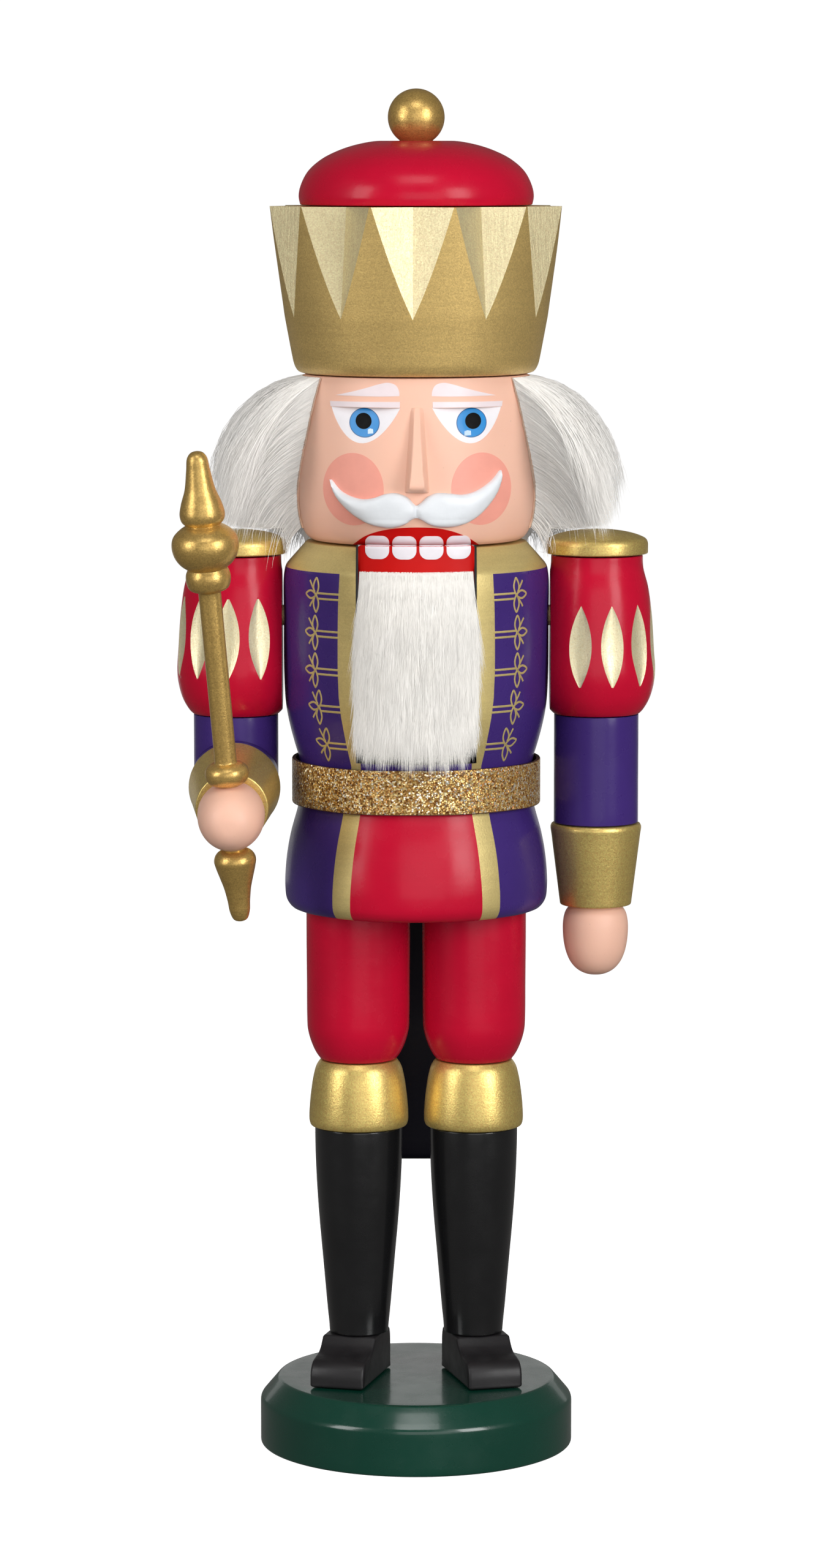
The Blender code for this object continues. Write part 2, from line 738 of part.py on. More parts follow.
def crown():
    bm = bmesh.new()
    count = NOTCHES * 4

    def point(r, az, z):
        az += radians(CROWN_TURN)
        return bm.verts.new((r * sin(az), -r * cos(az), z))

    def ring(r, z):
        return [point(r, 2 * pi * k / count, z) for k in range(count)]

    # Every fourth point, starting at the front, is the foot of a notch; halfway between two feet is a tooth
    foot = ring(CROWN_CONE_R, NOTCH_Z)
    step = 2 * pi / NOTCHES
    valley = [point(CROWN_VALLEY_R, step * k, CROWN_TOP) for k in range(NOTCHES)]
    tip = [point(CROWN_TIP_R, step * (k + 0.5), CROWN_TOP) for k in range(NOTCHES)]
    for k in range(NOTCHES):
        for j in range(4):
            bm.faces.new((foot[(4 * k + j) % count], foot[(4 * k + j + 1) % count], tip[k]))
        bm.faces.new((foot[4 * k], tip[k], valley[k]))
        bm.faces.new((foot[4 * k], valley[k], tip[k - 1]))
    inner_top = ring(HEAD_TENON + GAP, CROWN_TOP)
    for k in range(NOTCHES):
        n = (k + 1) % NOTCHES
        bm.faces.new((valley[k], tip[k], inner_top[4 * k + 2], inner_top[4 * k + 1], inner_top[4 * k]))
        bm.faces.new((tip[k], valley[n], inner_top[(4 * k + 4) % count], inner_top[4 * k + 3], inner_top[4 * k + 2]))
    cap_bore = [inner_top, ring(HEAD_TENON + GAP, 350.0)]
    floor = bm.verts.new((0, 0, 350.0))
    rings = [foot] + [ring(r, z) for r, z in CROWN_LOWER] + [ring(HEAD_TENON + GAP, CROWN_LOW), ring(HEAD_TENON + GAP, 330.0)]
    roof = bm.verts.new((0, 0, 330.0))
    for a, b in list(zip(rings, rings[1:])) + [tuple(cap_bore)]:
        for k in range(count):
            n = (k + 1) % count
            bm.faces.new((a[k], a[n], b[n], b[k]))
    for k in range(count):
        n = (k + 1) % count
        bm.faces.new((cap_bore[1][k], cap_bore[1][n], floor))
        bm.faces.new((rings[-1][k], rings[-1][n], roof))
    return finish(bm, "crown", GOLD, 20)


crown()
turned(
    "crown_cap",
    [
        (0, 376.4),
        (3.3, 376.4),
        (3.3, 384.1),
        (5.5, 384.2),
        (10.5, 384.9),
        (16.8, 383.9),
        (22.5, 382.2),
        (27.8, 379.5),
        (31.6, 376.0),
        (33.6, 371.9),
        (34.1, 369.0),
        (33.7, CROWN_TOP + GAP),
        (HEAD_TENON, CROWN_TOP + GAP),
        (HEAD_TENON, 352.0),
        (0, 352.0),
    ],
    CRIMSON,
    count=28,
)


def knob_rings():
    rings = [(0, KNOB_Z + KNOB_R)]
    for k in range(1, 7):
        a = pi * k / 8
        rings.append((KNOB_R * sin(a), KNOB_Z + KNOB_R * cos(a)))
    return rings + [(4.3, 384.6), (3.0, 384.5), (3.0, 377.0), (0, 377.0)]


turned("crown_knob", knob_rings(), GOLD, count=16)
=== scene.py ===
"""Turned wooden nutcracker king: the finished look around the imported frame. Lengths in tables are millimetres."""

import math
from math import asin, atan2, ceil, cos, pi, radians, sin, sqrt

import bmesh
import bpy
import numpy as np
from mathutils import Matrix, Vector
from mathutils.geometry import delaunay_2d_cdt


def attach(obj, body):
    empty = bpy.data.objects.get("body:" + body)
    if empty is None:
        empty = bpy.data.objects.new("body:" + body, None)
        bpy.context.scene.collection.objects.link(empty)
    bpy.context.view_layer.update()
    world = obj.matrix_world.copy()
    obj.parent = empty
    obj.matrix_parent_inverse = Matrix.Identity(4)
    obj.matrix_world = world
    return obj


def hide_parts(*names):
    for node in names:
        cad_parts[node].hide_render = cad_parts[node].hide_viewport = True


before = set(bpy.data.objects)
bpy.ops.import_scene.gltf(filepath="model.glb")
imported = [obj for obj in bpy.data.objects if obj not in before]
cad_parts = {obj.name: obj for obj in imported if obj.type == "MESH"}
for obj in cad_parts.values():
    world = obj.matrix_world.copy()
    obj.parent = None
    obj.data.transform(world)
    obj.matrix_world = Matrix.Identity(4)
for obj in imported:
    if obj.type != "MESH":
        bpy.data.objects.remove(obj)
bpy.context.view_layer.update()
MM = 0.001
scene = bpy.context.scene
rng = np.random.default_rng(7)

# ---------------------------------------------------------------- materials


def rgb(r, g, b):
    """An sRGB colour of 0 to 255 as linear values."""
    return tuple(c / 12.92 if c <= 0.04045 else ((c + 0.055) / 1.055) ** 2.4 for c in (r / 255, g / 255, b / 255))


class Look:
    """A material being built: a Principled shader and short calls that add nodes to it."""

    def __init__(self, name):
        self.m = bpy.data.materials.new(name)
        self.m.use_nodes = True
        self.t = self.m.node_tree
        self.p = self.t.nodes["Principled BSDF"]
        self.at = self.add("ShaderNodeTexCoord").outputs["Object"]

    def add(self, kind, **values):
        n = self.t.nodes.new(kind)
        for k, v in values.items():
            if hasattr(n, k):
                setattr(n, k, v)
            else:
                n.inputs[k.replace("_", " ")].default_value = v
        return n

    def link(self, a, b):
        self.t.links.new(a, b)

    def stretched(self, x, y, z):
        n = self.add("ShaderNodeMapping")
        n.inputs["Scale"].default_value = (x, y, z)
        self.link(self.at, n.inputs["Vector"])
        return n.outputs["Vector"]

    def noise(self, scale, detail=3.0, rough=0.55, where=None, dims=None):
        n = self.add("ShaderNodeTexNoise")
        n.inputs["Scale"].default_value = scale
        n.inputs["Detail"].default_value = detail
        n.inputs["Roughness"].default_value = rough
        self.link(where or self.at, n.inputs["Vector"])
        return n.outputs["Fac"]

    def ramp(self, value, *stops):
        n = self.add("ShaderNodeValToRGB")
        e = n.color_ramp.elements
        while len(e) < len(stops):
            e.new(0.5)
        for el, (at, c) in zip(e, stops):
            el.position = at
            el.color = (*c, 1) if isinstance(c, tuple) else (c, c, c, 1)
        self.link(value, n.inputs["Fac"])
        return n.outputs["Color"]

    def mapped(self, value, a, b, c, d):
        n = self.add("ShaderNodeMapRange")
        for k, v in zip(("From Min", "From Max", "To Min", "To Max"), (a, b, c, d)):
            n.inputs[k].default_value = v
        self.link(value, n.inputs["Value"])
        return n.outputs["Result"]

    def maths(self, op, a, b=0.5):
        n = self.add("ShaderNodeMath")
        n.operation = op
        for k, v in enumerate((a, b)):
            if isinstance(v, (int, float)):
                n.inputs[k].default_value = v
            else:
                self.link(v, n.inputs[k])
        return n.outputs[0]

    def mix(self, fac, a, b):
        n = self.add("ShaderNodeMix", data_type="RGBA")
        for k, v in ((0, fac), (6, a), (7, b)):
            if isinstance(v, (int, float)):
                n.inputs[k].default_value = v
            elif isinstance(v, tuple):
                n.inputs[k].default_value = (*v, 1)
            else:
                self.link(v, n.inputs[k])
        return n.outputs[2]

    def bump(self, height, strength, distance, after=None):
        n = self.add("ShaderNodeBump")
        n.inputs["Strength"].default_value = strength
        n.inputs["Distance"].default_value = distance
        self.link(height, n.inputs["Height"])
        if after is not None:
            self.link(after, n.inputs["Normal"])
        return n.outputs["Normal"]

    def done(self, colour, roughness, normal=None, **constants):
        self.link(colour, self.p.inputs["Base Color"])
        if isinstance(roughness, (int, float)):
            self.p.inputs["Roughness"].default_value = roughness
        else:
            self.link(roughness, self.p.inputs["Roughness"])
        if normal is not None:
            self.link(normal, self.p.inputs["Normal"])
        for k, v in constants.items():
            self.p.inputs[k.replace("_", " ")].default_value = v
        return self.m


def scaled(c, k):
    return tuple(min(1.0, v * k) for v in c)


def lacquer(name, colour, rough=0.3, coat=0.35, coat_rough=0.12, peel=0.06, grain=0.05, tone=0.07, specular=0.5):
    """Brushed lacquer over turned wood: faint tone drift, orange peel, turning lines and wood grain under it, dust specks."""
    k = Look(name)
    drift = k.noise(38, 3)
    body = k.ramp(drift, (0.3, scaled(colour, 1 - tone)), (0.7, scaled(colour, 1 + tone)))
    lines = k.noise(1.0, 4, 0.6, k.stretched(26, 26, 900))
    fibre = k.noise(1.0, 3, 0.6, k.stretched(700, 700, 34))
    fine = k.noise(850, 2)
    speck = k.noise(1500, 1)
    body = k.mix(k.mapped(lines, 0.35, 0.65, 0.0, 0.10), body, scaled(colour, 0.82))
    body = k.mix(k.mapped(speck, 0.78, 0.82, 0.0, 0.10), body, scaled(colour, 1.6))
    n = k.bump(lines, grain, 0.0002)
    n = k.bump(fibre, grain * 0.7, 0.0002, n)
    n = k.bump(fine, peel, 0.0003, n)
    r = k.mapped(k.noise(120, 4), 0.3, 0.7, rough - 0.05, rough + 0.06)
    return k.done(body, r, n, Coat_Weight=coat, Coat_Roughness=coat_rough, Specular_IOR_Level=specular)


def gold(name, colour, rough=0.46, grain=(26, 26, 700), flake=0.22, tone=0.08, coat=0.10, relief=0.08, metal=0.54):
    """Metallic gold paint: fine bright flakes in a satin film over turned or sawn wood."""
    k = Look(name)
    drift = k.noise(45, 3)
    flakes = k.add("ShaderNodeTexVoronoi")
    flakes.inputs["Scale"].default_value = 3200
    k.link(k.at, flakes.inputs["Vector"])
    glint = k.add("ShaderNodeSeparateColor")
    k.link(flakes.outputs["Color"], glint.inputs[0])
    body = k.ramp(drift, (0.3, scaled(colour, 1 - tone)), (0.7, scaled(colour, 1 + tone)))
    body = k.mix(k.mapped(glint.outputs[0], 0.0, 1.0, 0.0, flake * 2), body, scaled(colour, 1.75))
    body = k.mix(k.mapped(glint.outputs[1], 0.76, 1.0, 0.0, flake * 1.6), body, scaled(colour, 0.62))
    lines = k.noise(1.0, 4, 0.65, k.stretched(*grain))
    body = k.mix(k.mapped(lines, 0.35, 0.7, 0.0, 0.22), body, scaled(colour, 0.70))
    grit = k.noise(1900, 2)
    n = k.bump(lines, relief, 0.0003)
    n = k.bump(grit, 0.22, 0.00022, n)
    r = k.mapped(grit, 0.3, 0.7, rough - 0.06, rough + 0.08)
    return k.done(body, r, n, Metallic=metal, Coat_Weight=coat, Coat_Roughness=0.25)


def paint(name, colour, rough=0.45, tone=0.04, peel=0.05, coat=0.0, specular=0.5):
    """A brushed film of opaque paint, as on the face details."""
    k = Look(name)
    drift = k.noise(160, 3)
    body = k.ramp(drift, (0.3, scaled(colour, 1 - tone)), (0.7, scaled(colour, 1 + tone * 0.6)))
    strokes = k.noise(1.0, 3, 0.6, k.stretched(420, 420, 1500))
    body = k.mix(k.mapped(strokes, 0.4, 0.8, 0.0, 0.08), body, scaled(colour, 0.86))
    n = k.bump(strokes, peel, 0.0002)
    n = k.bump(k.noise(900, 2), peel, 0.0003, n)
    r = k.mapped(k.noise(260, 3), 0.3, 0.7, rough - 0.04, rough + 0.05)
    return k.done(body, r, n, Coat_Weight=coat, Coat_Roughness=0.08, Specular_IOR_Level=specular)


def skin_paint(name, colour):
    k = Look(name)
    drift = k.noise(30, 3)
    body = k.ramp(drift, (0.3, scaled(colour, 0.97)), (0.7, scaled(colour, 1.02)))
    lines = k.noise(1.0, 3, 0.6, k.stretched(30, 30, 700))
    speck = k.noise(700, 1)
    body = k.mix(k.mapped(lines, 0.4, 0.8, 0.0, 0.05), body, scaled(colour, 0.85))
    body = k.mix(k.mapped(speck, 0.80, 0.83, 0.0, 0.35), body, scaled(colour, 0.66))
    n = k.bump(lines, 0.04, 0.0002)
    n = k.bump(k.noise(1300, 3), 0.09, 0.0002, n)
    r = k.mapped(k.noise(300, 3), 0.3, 0.7, 0.43, 0.52)
    return k.done(body, r, n, Specular_IOR_Level=0.42, Subsurface_Weight=0.05, Subsurface_Radius=(0.004, 0.002, 0.001), Subsurface_Scale=0.4)


def fur_look(name, colour, dark, painted_glow):
    """Long white hair: each strand a little different, warmer and greyer in random clumps; its faint glow is painted
    light that lifts the shade between the strands.
    """
    k = Look(name)
    streak = k.noise(1.0, 3, 0.6, k.stretched(900, 900, 120))
    clump = k.noise(90, 3)
    body = k.ramp(streak, (0.25, scaled(colour, 0.90)), (0.6, colour), (0.8, scaled(colour, 1.04)))
    body = k.mix(k.mapped(clump, 0.35, 0.75, 0.0, 0.22), body, dark)
    return k.done(
        body,
        k.mapped(streak, 0.3, 0.7, 0.55, 0.72),
        None,
        Specular_IOR_Level=0.3,
        Sheen_Weight=0.2,
        Sheen_Roughness=0.5,
        Emission_Color=(1.0, 0.98, 0.95, 1),
        Emission_Strength=painted_glow,
    )


def hide_look(name, colour):
    k = Look(name)
    a = k.noise(900, 4, 0.7)
    body = k.ramp(a, (0.3, scaled(colour, 0.8)), (0.7, colour))
    return k.done(body, k.mapped(a, 0.3, 0.7, 0.75, 0.9), k.bump(a, 0.4, 0.0003))


def glitter_look(name):
    """Glitter: close-packed foil flakes, each tilted and coloured by itself, bronze to pale gold; the palest,
    near-white flakes are painted glints.
    """
    k = Look(name)
    v = k.add("ShaderNodeTexVoronoi")
    v.inputs["Scale"].default_value = 2150
    k.link(k.at, v.inputs["Vector"])
    s = k.add("ShaderNodeSeparateColor")
    k.link(v.outputs["Color"], s.inputs[0])
    # Flake tone runs bronze to pale gold; the near-white top of the ramp is painted glint.
    body = k.ramp(
        s.outputs[0],
        (0.0, rgb(120, 74, 30)),
        (0.28, rgb(190, 138, 66)),
        (0.56, rgb(230, 188, 108)),
        (0.80, rgb(252, 226, 158)),
        (0.96, rgb(255, 253, 236)),
    )
    body = k.mix(k.mapped(v.outputs["Distance"], 0.34, 0.70, 0.0, 0.45), body, rgb(128, 72, 34))
    tilt = k.add("ShaderNodeVectorMath", operation="SUBTRACT")
    k.link(v.outputs["Color"], tilt.inputs[0])
    tilt.inputs[1].default_value = (0.5, 0.5, 0.5)
    size = k.add("ShaderNodeVectorMath", operation="SCALE")
    k.link(tilt.outputs[0], size.inputs[0])
    size.inputs["Scale"].default_value = 0.7
    g = k.add("ShaderNodeNewGeometry")
    total = k.add("ShaderNodeVectorMath", operation="ADD")
    k.link(size.outputs[0], total.inputs[0])
    k.link(g.outputs["Normal"], total.inputs[1])
    unit = k.add("ShaderNodeVectorMath", operation="NORMALIZE")
    k.link(total.outputs[0], unit.inputs[0])
    n = k.bump(v.outputs["Distance"], 0.5, 0.0002, unit.outputs[0])
    r = k.mapped(s.outputs[1], 0.0, 1.0, 0.16, 0.42)
    return k.done(body, r, n, Metallic=0.5)


def leather_look(name, colour):
    k = Look(name)
    pores = k.add("ShaderNodeTexVoronoi")
    pores.inputs["Scale"].default_value = 1400
    k.link(k.at, pores.inputs["Vector"])
    a = k.noise(300, 4, 0.65)
    body = k.ramp(a, (0.25, scaled(colour, 0.55)), (0.75, scaled(colour, 1.3)))
    n = k.bump(pores.outputs["Distance"], 0.5, 0.0003)
    return k.done(body, k.mapped(a, 0.3, 0.7, 0.55, 0.75), k.bump(a, 0.3, 0.0004, n))


def wood_look(name, colour):
    k = Look(name)
    fibre = k.noise(1.0, 5, 0.65, k.stretched(420, 420, 22))
    body = k.ramp(fibre, (0.3, scaled(colour, 0.72)), (0.7, colour))
    return k.done(body, 0.6, k.bump(fibre, 0.3, 0.0003))


def steel_look(name, colour):
    k = Look(name)
    lines = k.noise(1.0, 4, 0.6, k.stretched(20, 1600, 1600))
    body = k.ramp(lines, (0.3, scaled(colour, 0.8)), (0.7, colour))
    return k.done(body, k.mapped(lines, 0.3, 0.7, 0.28, 0.42), k.bump(lines, 0.15, 0.0002), Metallic=1.0)


GREEN = lacquer("green_lacquer", rgb(4, 60, 46), 0.26, 0.55, 0.10, peel=0.05, grain=0.03, tone=0.06)
CRIMSON = lacquer("crimson_lacquer", rgb(194, 14, 48), 0.26, 0.05, 0.12, peel=0.07, grain=0.05, specular=0.20)
PURPLE = lacquer("purple_lacquer", rgb(64, 42, 116), 0.28, 0.07, 0.14, peel=0.06, grain=0.05, specular=0.24)
BOOT = lacquer("boot_black", rgb(20, 20, 21), 0.26, 0.45, 0.12, peel=0.05, grain=0.05, tone=0.12)
SHOE = lacquer("shoe_black", rgb(26, 24, 26), 0.46, 0.05, 0.3, peel=0.10, grain=0.16, tone=0.12)
# The lever's navy is darkened past its paint: painted shade for the shadow the tail sits in between the legs.
SHADED_TAIL_NAVY = lacquer("tail_navy_painted_shade", rgb(10, 8, 18), 0.40, 0.03, 0.2, peel=0.08, grain=0.14, tone=0.1, specular=0.2)
SLOT_DARK = lacquer("slot_dark", rgb(26, 22, 26), 0.6, 0.0, 0.3, peel=0.15, grain=0.25, tone=0.2)
CROWN_GOLD = gold("crown_gold", rgb(206, 174, 108), 0.47, metal=0.58)
FACET_GOLD = gold("notch_gold", rgb(222, 203, 160), 0.48, metal=0.6, grain=(900, 900, 60), relief=0.35)
WARM_GOLD = gold("warm_gold", rgb(228, 191, 114), 0.38, metal=0.72, flake=0.26)
STAFF_GOLD = gold("staff_gold", rgb(206, 168, 96), 0.36, metal=0.74, flake=0.26)
PALE_GOLD = gold("gouge_gold", rgb(238, 223, 178), 0.42, metal=0.5, grain=(500, 500, 90), relief=0.4)
LINE_GOLD = gold("line_gold", rgb(210, 188, 124), 0.48, metal=0.5, flake=0.10, relief=0.06)
SKIN = skin_paint("skin_paint", rgb(247, 196, 172))
CHEEK = paint("cheek_pink", rgb(246, 164, 146), 0.48)
MOUTH = paint("mouth_red", rgb(198, 15, 12), 0.42, specular=0.15)
TOOTH = paint("tooth_white", rgb(238, 232, 238), 0.36, coat=0.1)
EYE_WHITE = paint("eye_white", rgb(240, 236, 240), 0.40)
BROW = paint("brow_white", rgb(240, 225, 228), 0.42)
IRIS = paint("iris_blue", rgb(36, 140, 212), 0.34, coat=0.1, specular=0.3)
PUPIL = paint("pupil_black", rgb(4, 4, 5), 0.5, coat=0.0, specular=0.12)
# Painted reflection: the pale glint film laid on each iris.
GLINT = paint("glint_pale", rgb(196, 222, 240), 0.25, coat=0.3)
RING = paint("iris_rim", rgb(24, 92, 150), 0.34)
MOUSTACHE = paint("moustache_white", rgb(232, 236, 240), 0.38, coat=0.1, peel=0.10)
# Both furs glow faintly: painted light that lifts the shade between the strands.
FUR = fur_look("white_fur", rgb(241, 238, 233), rgb(231, 222, 211), 0.12)
BEARD_FUR = fur_look("beard_fur", rgb(238, 235, 229), rgb(230, 224, 214), 0.08)
HIDE = hide_look("fur_hide", rgb(248, 214, 190))
GLITTER = glitter_look("bronze_glitter")
STRIP = leather_look("belt_backing", rgb(84, 50, 32))
WOOD = wood_look("bare_beech", rgb(216, 184, 140))
STEEL = steel_look("pin_steel", rgb(186, 186, 190))

# ---------------------------------------------------------------- mesh helpers


def place(ob, slot, *nodes, body="figure"):
    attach(ob, body)
    if nodes:
        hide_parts(*nodes)
    return ob


def to_object(name, bm, mats, smooth=32.0, merge=1e-4):
    """A bmesh in millimetres becomes a named object in metres."""
    if merge:
        bmesh.ops.remove_doubles(bm, verts=bm.verts, dist=merge)
    loose = [v for v in bm.verts if not v.link_faces]
    bmesh.ops.delete(bm, geom=loose, context="VERTS")
    bmesh.ops.recalc_face_normals(bm, faces=bm.faces)
    bmesh.ops.scale(bm, vec=(MM, MM, MM), verts=bm.verts)
    mesh = bpy.data.meshes.new(name)
    bm.to_mesh(mesh)
    bm.free()
    ob = bpy.data.objects.new(name, mesh)
    scene.collection.objects.link(ob)
    for m in mats if isinstance(mats, (list, tuple)) else [mats]:
        mesh.materials.append(m)
    mesh.shade_smooth()
    mesh.set_sharp_from_angle(angle=radians(smooth))
    return ob


def spline(points, step):
    """A centripetal curve through the points, sampled about every step."""
    p = np.array(points, float)
    if len(p) == 2:
        n = max(1, ceil(np.linalg.norm(p[1] - p[0]) / (step * 4)))
        return [p[0] + (p[1] - p[0]) * k / n for k in range(n + 1)]
    q = np.vstack([2 * p[0] - p[1], p, 2 * p[-1] - p[-2]])
    out = [p[0]]
    for i in range(1, len(q) - 2):
        a, b, c, d = q[i - 1 : i + 3]
        t = [0.0]
        for u, v in ((a, b), (b, c), (c, d)):
            t.append(t[-1] + max(np.linalg.norm(v - u), 1e-6) ** 0.5)
        n = max(1, ceil(np.linalg.norm(c - b) / step))
        for k in range(1, n + 1):
            s = t[1] + (t[2] - t[1]) * k / n
            a1 = (t[1] - s) / (t[1] - t[0]) * a + (s - t[0]) / (t[1] - t[0]) * b
            a2 = (t[2] - s) / (t[2] - t[1]) * b + (s - t[1]) / (t[2] - t[1]) * c
            a3 = (t[3] - s) / (t[3] - t[2]) * c + (s - t[2]) / (t[3] - t[2]) * d
            b1 = (t[2] - s) / (t[2] - t[0]) * a1 + (s - t[0]) / (t[2] - t[0]) * a2
            b2 = (t[3] - s) / (t[3] - t[1]) * a2 + (s - t[1]) / (t[3] - t[1]) * a3
            out.append((t[2] - s) / (t[2] - t[1]) * b1 + (s - t[1]) / (t[2] - t[1]) * b2)
    return out


def trimmed(run, length):
    """The run with the given length taken off its end."""
    total = sum(np.linalg.norm(b - a) for a, b in zip(run, run[1:]))
    length = min(length, total * 0.45)
    run = list(run)
    while len(run) > 1:
        d = np.linalg.norm(run[-1] - run[-2])
        if d > length:
            run[-1] = run[-1] + (run[-2] - run[-1]) * (length / d)
            return run
        length -= d
        run.pop()
    return run


def profile(points, step=0.8):
    """Points of (r, z) are passed smoothly; (r, z, f) is a corner eased over f millimetres each way."""
    marks = [i for i, p in enumerate(points) if len(p) > 2 or i in (0, len(points) - 1)]
    runs = [spline([p[:2] for p in points[a : b + 1]], step) for a, b in zip(marks, marks[1:])]
    out = list(runs[0])
    for k in range(1, len(runs)):
        f = points[marks[k]][2]
        c = np.array(points[marks[k]][:2], float)
        if f <= 0:
            out += runs[k][1:]
            continue
        out = trimmed(out, f)
        nxt = list(reversed(trimmed(list(reversed(runs[k])), f)))
        a, b = out[-1], nxt[0]
        for j in range(1, 5):
            t = j / 5
            out.append((1 - t) ** 2 * a + 2 * t * (1 - t) * c + t * t * b)
        out += nxt
    return out


def lathe(name, points, mats, count=144, placed=None, step=0.8, band=None, smooth=32.0):
    """A turned solid. band(r, z) picks the material of each ring of faces."""
    rings = profile(points, step)
    placed = placed or Matrix.Identity(4)
    bm = bmesh.new()
    loops = []
    turns = [(cos(2 * pi * k / count), sin(2 * pi * k / count)) for k in range(count)]
    for r, z in rings:
        if r < 1e-4:
            loops.append([bm.verts.new(placed @ Vector((0, 0, z)))])
        else:
            loops.append([bm.verts.new(placed @ Vector((r * c, r * s, z))) for c, s in turns])
    for (a, b), (p, q) in zip(zip(loops, loops[1:]), zip(rings, rings[1:])):
        which = band((p[0] + q[0]) / 2, (p[1] + q[1]) / 2) if band else 0
        if len(a) == 1 and len(b) == 1:
            continue
        for k in range(count):
            n = (k + 1) % count
            if len(a) == 1:
                f = bm.faces.new((a[0], b[k], b[n]))
            elif len(b) == 1:
                f = bm.faces.new((a[k], b[0], a[n]))
            else:
                f = bm.faces.new((a[k], b[k], b[n], a[n]))
            f.material_index = which
    return to_object(name, bm, mats, smooth)


def apply_all(ob):
    """Bakes an object's modifiers into its mesh."""
    dg = bpy.context.evaluated_depsgraph_get()
    mesh = bpy.data.meshes.new_from_object(ob.evaluated_get(dg))
    ob.modifiers.clear()
    old = ob.data
    ob.data = mesh
    bpy.data.meshes.remove(old)
    return ob


def cut(ob, *tools):
    """Takes the tools' shapes out of ob and removes the tools."""
    for t in tools:
        m = ob.modifiers.new("cut", "BOOLEAN")
        m.operation, m.solver, m.object = "DIFFERENCE", "EXACT", t
    apply_all(ob)
    for t in tools:
        bpy.data.objects.remove(t, do_unlink=True)
    return ob


def prism(outline, low, high, placed=None):
    """An extruded (y, z) outline along X, used as a cutting tool."""
    bm = bmesh.new()
    placed = placed or Matrix.Identity(4)
    a = [bm.verts.new(placed @ Vector((low, u, v))) for u, v in outline]
    b = [bm.verts.new(placed @ Vector((high, u, v))) for u, v in outline]
    n = len(outline)
    for k in range(n):
        bm.faces.new((a[k], a[(k + 1) % n], b[(k + 1) % n], b[k]))
    bm.faces.new(a)
    bm.faces.new(list(reversed(b)))
    return to_object("tool", bm, [])


def resmooth(ob, angle):
    ob.data.shade_smooth()
    ob.data.set_sharp_from_angle(angle=radians(angle))
    return ob


def mirrored(points):
    return [(-x, z) for x, z in points]


def closed_curve(points, step=0.4):
    """A smooth closed outline through the points."""
    p = [np.array(q, float) for q in points]
    n = len(p)
    out = []
    run = spline([p[-2], p[-1]] + p + [p[0], p[1], p[2]], step)
    start = min(range(len(run)), key=lambda k: np.linalg.norm(run[k] - p[0]))
    end = max(k for k in range(len(run)) if np.linalg.norm(run[k] - p[0]) < 1e-6)
    out = run[start:end]
    return [tuple(q) for q in out]


def dense(points, step=0.4):
    """A closed outline of straight sides, with points added along them."""
    out = []
    for a, b in zip(points, points[1:] + points[:1]):
        a, b = np.array(a, float), np.array(b, float)
        n = max(1, ceil(np.linalg.norm(b - a) / step))
        out += [tuple(a + (b - a) * k / n) for k in range(n)]
    return out


def inside(points, outline):
    """Which of the points lie inside the outline."""
    o = np.array(outline)
    x, y = points[:, 0][:, None], points[:, 1][:, None]
    x1, y1 = o[:, 0], o[:, 1]
    x2, y2 = np.roll(x1, -1), np.roll(y1, -1)
    hit = ((y1 > y) != (y2 > y)) & (x < (x2 - x1) * (y - y1) / np.where(y2 == y1, 1e-12, y2 - y1) + x1)
    return hit.sum(1) % 2 == 1


def edge_distance(points, outline):
    o = np.array(outline)
    a, b = o, np.roll(o, -1, 0)
    ab = b - a
    t = ((points[:, None] - a) * ab).sum(2) / np.maximum((ab * ab).sum(1), 1e-12)
    near = a + np.clip(t, 0, 1)[..., None] * ab
    return np.linalg.norm(points[:, None] - near, axis=2).min(1)


def film(name, outlines, surface, mats, lift=0.10, sink=0.25, grid=0.8, dome=None, smooth=40.0, relief=None):
    """Thin closed skins of paint, or raised pieces, that follow a surface. dome(d) adds height by distance from the edge."""
    bm = bmesh.new()
    for outline in outlines:
        o = np.array(outline)
        lo, hi = o.min(0), o.max(0)
        gx, gy = np.meshgrid(np.arange(lo[0] + grid / 2, hi[0], grid), np.arange(lo[1] + grid / 2, hi[1], grid))
        inner = np.stack([gx.ravel(), gy.ravel()], 1)
        if len(inner):
            inner = inner[inside(inner, outline)]
        if len(inner):
            inner = inner[edge_distance(inner, outline) > grid * 0.4]
        flat = [Vector(map(float, q)) for q in outline] + [Vector(map(float, q)) for q in inner]
        n = len(outline)
        verts, _, faces, *_ = delaunay_2d_cdt(flat, [(k, (k + 1) % n) for k in range(n)], [list(range(n))], 1, 1e-6)
        pts = np.array([tuple(v) for v in verts])
        depth = edge_distance(pts, outline)
        top, low = [], []
        for (x, z), d in zip(pts, depth):
            at, normal = surface(x, z)
            up = lift + (dome(d) if dome else 0.0) * (relief(x, z) if relief else 1.0)
            top.append(bm.verts.new(at + normal * up))
            low.append(bm.verts.new(at - normal * sink))
        used = {}
        for f in faces:
            bm.faces.new([top[k] for k in f])
            bm.faces.new([low[k] for k in reversed(f)])
            for a, b in zip(f, list(f[1:]) + [f[0]]):
                used[(a, b)] = True
        for a, b in list(used):
            if (b, a) not in used:
                bm.faces.new((top[b], top[a], low[a], low[b]))
    return to_object(name, bm, mats, smooth, merge=0)


